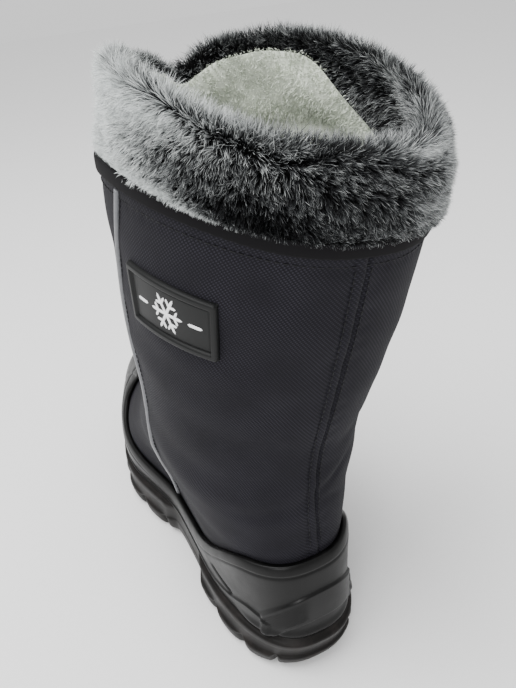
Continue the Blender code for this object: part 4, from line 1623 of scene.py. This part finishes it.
@dataclass(frozen=True)
class Studio:
    """Pale floor, soft light and the camera at the photograph's angle."""

    position: tuple[float, float, float] = (-0.2513, 0.1088, 0.3685)
    azimuth: float = 22.3
    elevation: float = 31.8
    roll: float = -5.2
    lens: float = 36.136

    def camera(self) -> None:
        """A camera behind and above the heel, looking along the boot and rolled a little."""
        az, el, roll = (math.radians(a) for a in (self.azimuth, self.elevation, self.roll))
        back = Vector((-math.cos(az) * math.cos(el), math.sin(az) * math.cos(el), math.sin(el)))
        right = (-back).cross(Vector((0, 0, 1))).normalized()
        up = right.cross(-back)
        turned = right * math.cos(roll) + up * math.sin(roll)
        upright = up * math.cos(roll) - right * math.sin(roll)
        data = bpy.data.cameras.new("camera")
        data.lens = self.lens
        data.clip_start = 0.01
        camera = bpy.data.objects.new("camera", data)
        bpy.context.collection.objects.link(camera)
        facing = Matrix((turned, upright, back)).transposed().to_4x4()
        camera.matrix_world = Matrix.Translation(self.position) @ facing
        bpy.context.scene.camera = camera

    def floor(self) -> None:
        """A wide matt floor, almost white."""
        corners = np.array([[-3, -3, 0], [3, -3, 0], [3, 3, 0], [-3, 3, 0]], float)
        # Matt paper: almost white, with no gloss and no grain.
        paper = Plain("matt_paper", "f6f6f6", 0.9, other="f8f8f8", depth=0.0).make()
        sheet = mesh_object("floor", corners, np.array([[0, 1, 2, 3]]), paper)

    def light(self, name: str, place: tuple, aim: tuple, size: float, power: float) -> None:
        """A square softbox.

        Args:
            name: The light's name.
            place: Where it stands.
            aim: The point that it faces.
            size: Its side.
            power: Its watts.
        """
        data = bpy.data.lights.new(name, "AREA")
        data.size = size
        data.energy = power
        lamp = bpy.data.objects.new(name, data)
        bpy.context.collection.objects.link(lamp)
        lamp.location = place
        lamp.rotation_euler = (Vector(aim) - Vector(place)).to_track_quat("-Z", "Y").to_euler()

    def build(self) -> None:
        """The whole studio."""
        world = bpy.data.worlds.new("white_room")
        world.use_nodes = True
        sky = world.node_tree.nodes["Background"]
        sky.inputs["Color"].default_value = linear("ffffff")
        sky.inputs["Strength"].default_value = 1.0
        bpy.context.scene.world = world
        self.camera()
        self.floor()
        self.light("top_softbox", (0.05, 0.35, 1.3), (0.05, 0, 0.2), 0.9, 22)
        self.light("rear_softbox", (-0.95, 0.75, 0.75), (0.0, 0, 0.1), 0.45, 8)


def keep(piece: bpy.types.Object) -> None:
    """Rides a piece on the boot and reports it."""
    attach(piece, "root")
    log.info("%s: %d faces", piece.name, len(piece.data.polygons))


def repaint(node: str, finish: bpy.types.Material) -> None:
    """Gives a node of the source its finish.

    Args:
        node: The node's name.
        finish: The material.
    """
    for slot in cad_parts[node].material_slots:
        slot.material = finish
    log.info("%s keeps its own form", node)


def main() -> None:
    """Builds the boot from the sole up and reports each piece."""
    logging.basicConfig(level=logging.INFO, format="%(name)s: %(message)s")
    form = BootForm()
    Studio().build()
    repaint("insole", FELT.make())
    keep(Outsole(form).build(SOLE.make()))
    keep(Galosh(form).build(FOAM.make()))
    keep(Shaft(form).build(NYLON.make()))
    keep(Binding(form).build(TAPE.make()))
    piping = Piping(form)
    tape = REFLECTIVE.make()
    for mirrored in (False, True):
        keep(piping.build(tape, mirrored))
    plate = Plate(form)
    keep(plate.build(PLATE.make()))
    keep(plate.motif(MOTIF.make()))
    keep(Stitching(form).build(THREAD.make(), piping))
    cuff = Cuff(form)
    keep(cuff.backing(BACKING.make()))
    lining = Lining(form, cuff)
    keep(lining.build(FLEECE.make()))
    keep(lining.hairs(WOOL.make(), LINING_HAIRS))
    pile = FUR.make()
    share = FUR_HAIRS
    for seed, (name, span) in enumerate(FUR_SPANS.items()):
        keep(cuff.hairs(name, pile, share, span, seed))


if __name__ == "__main__":
    main()
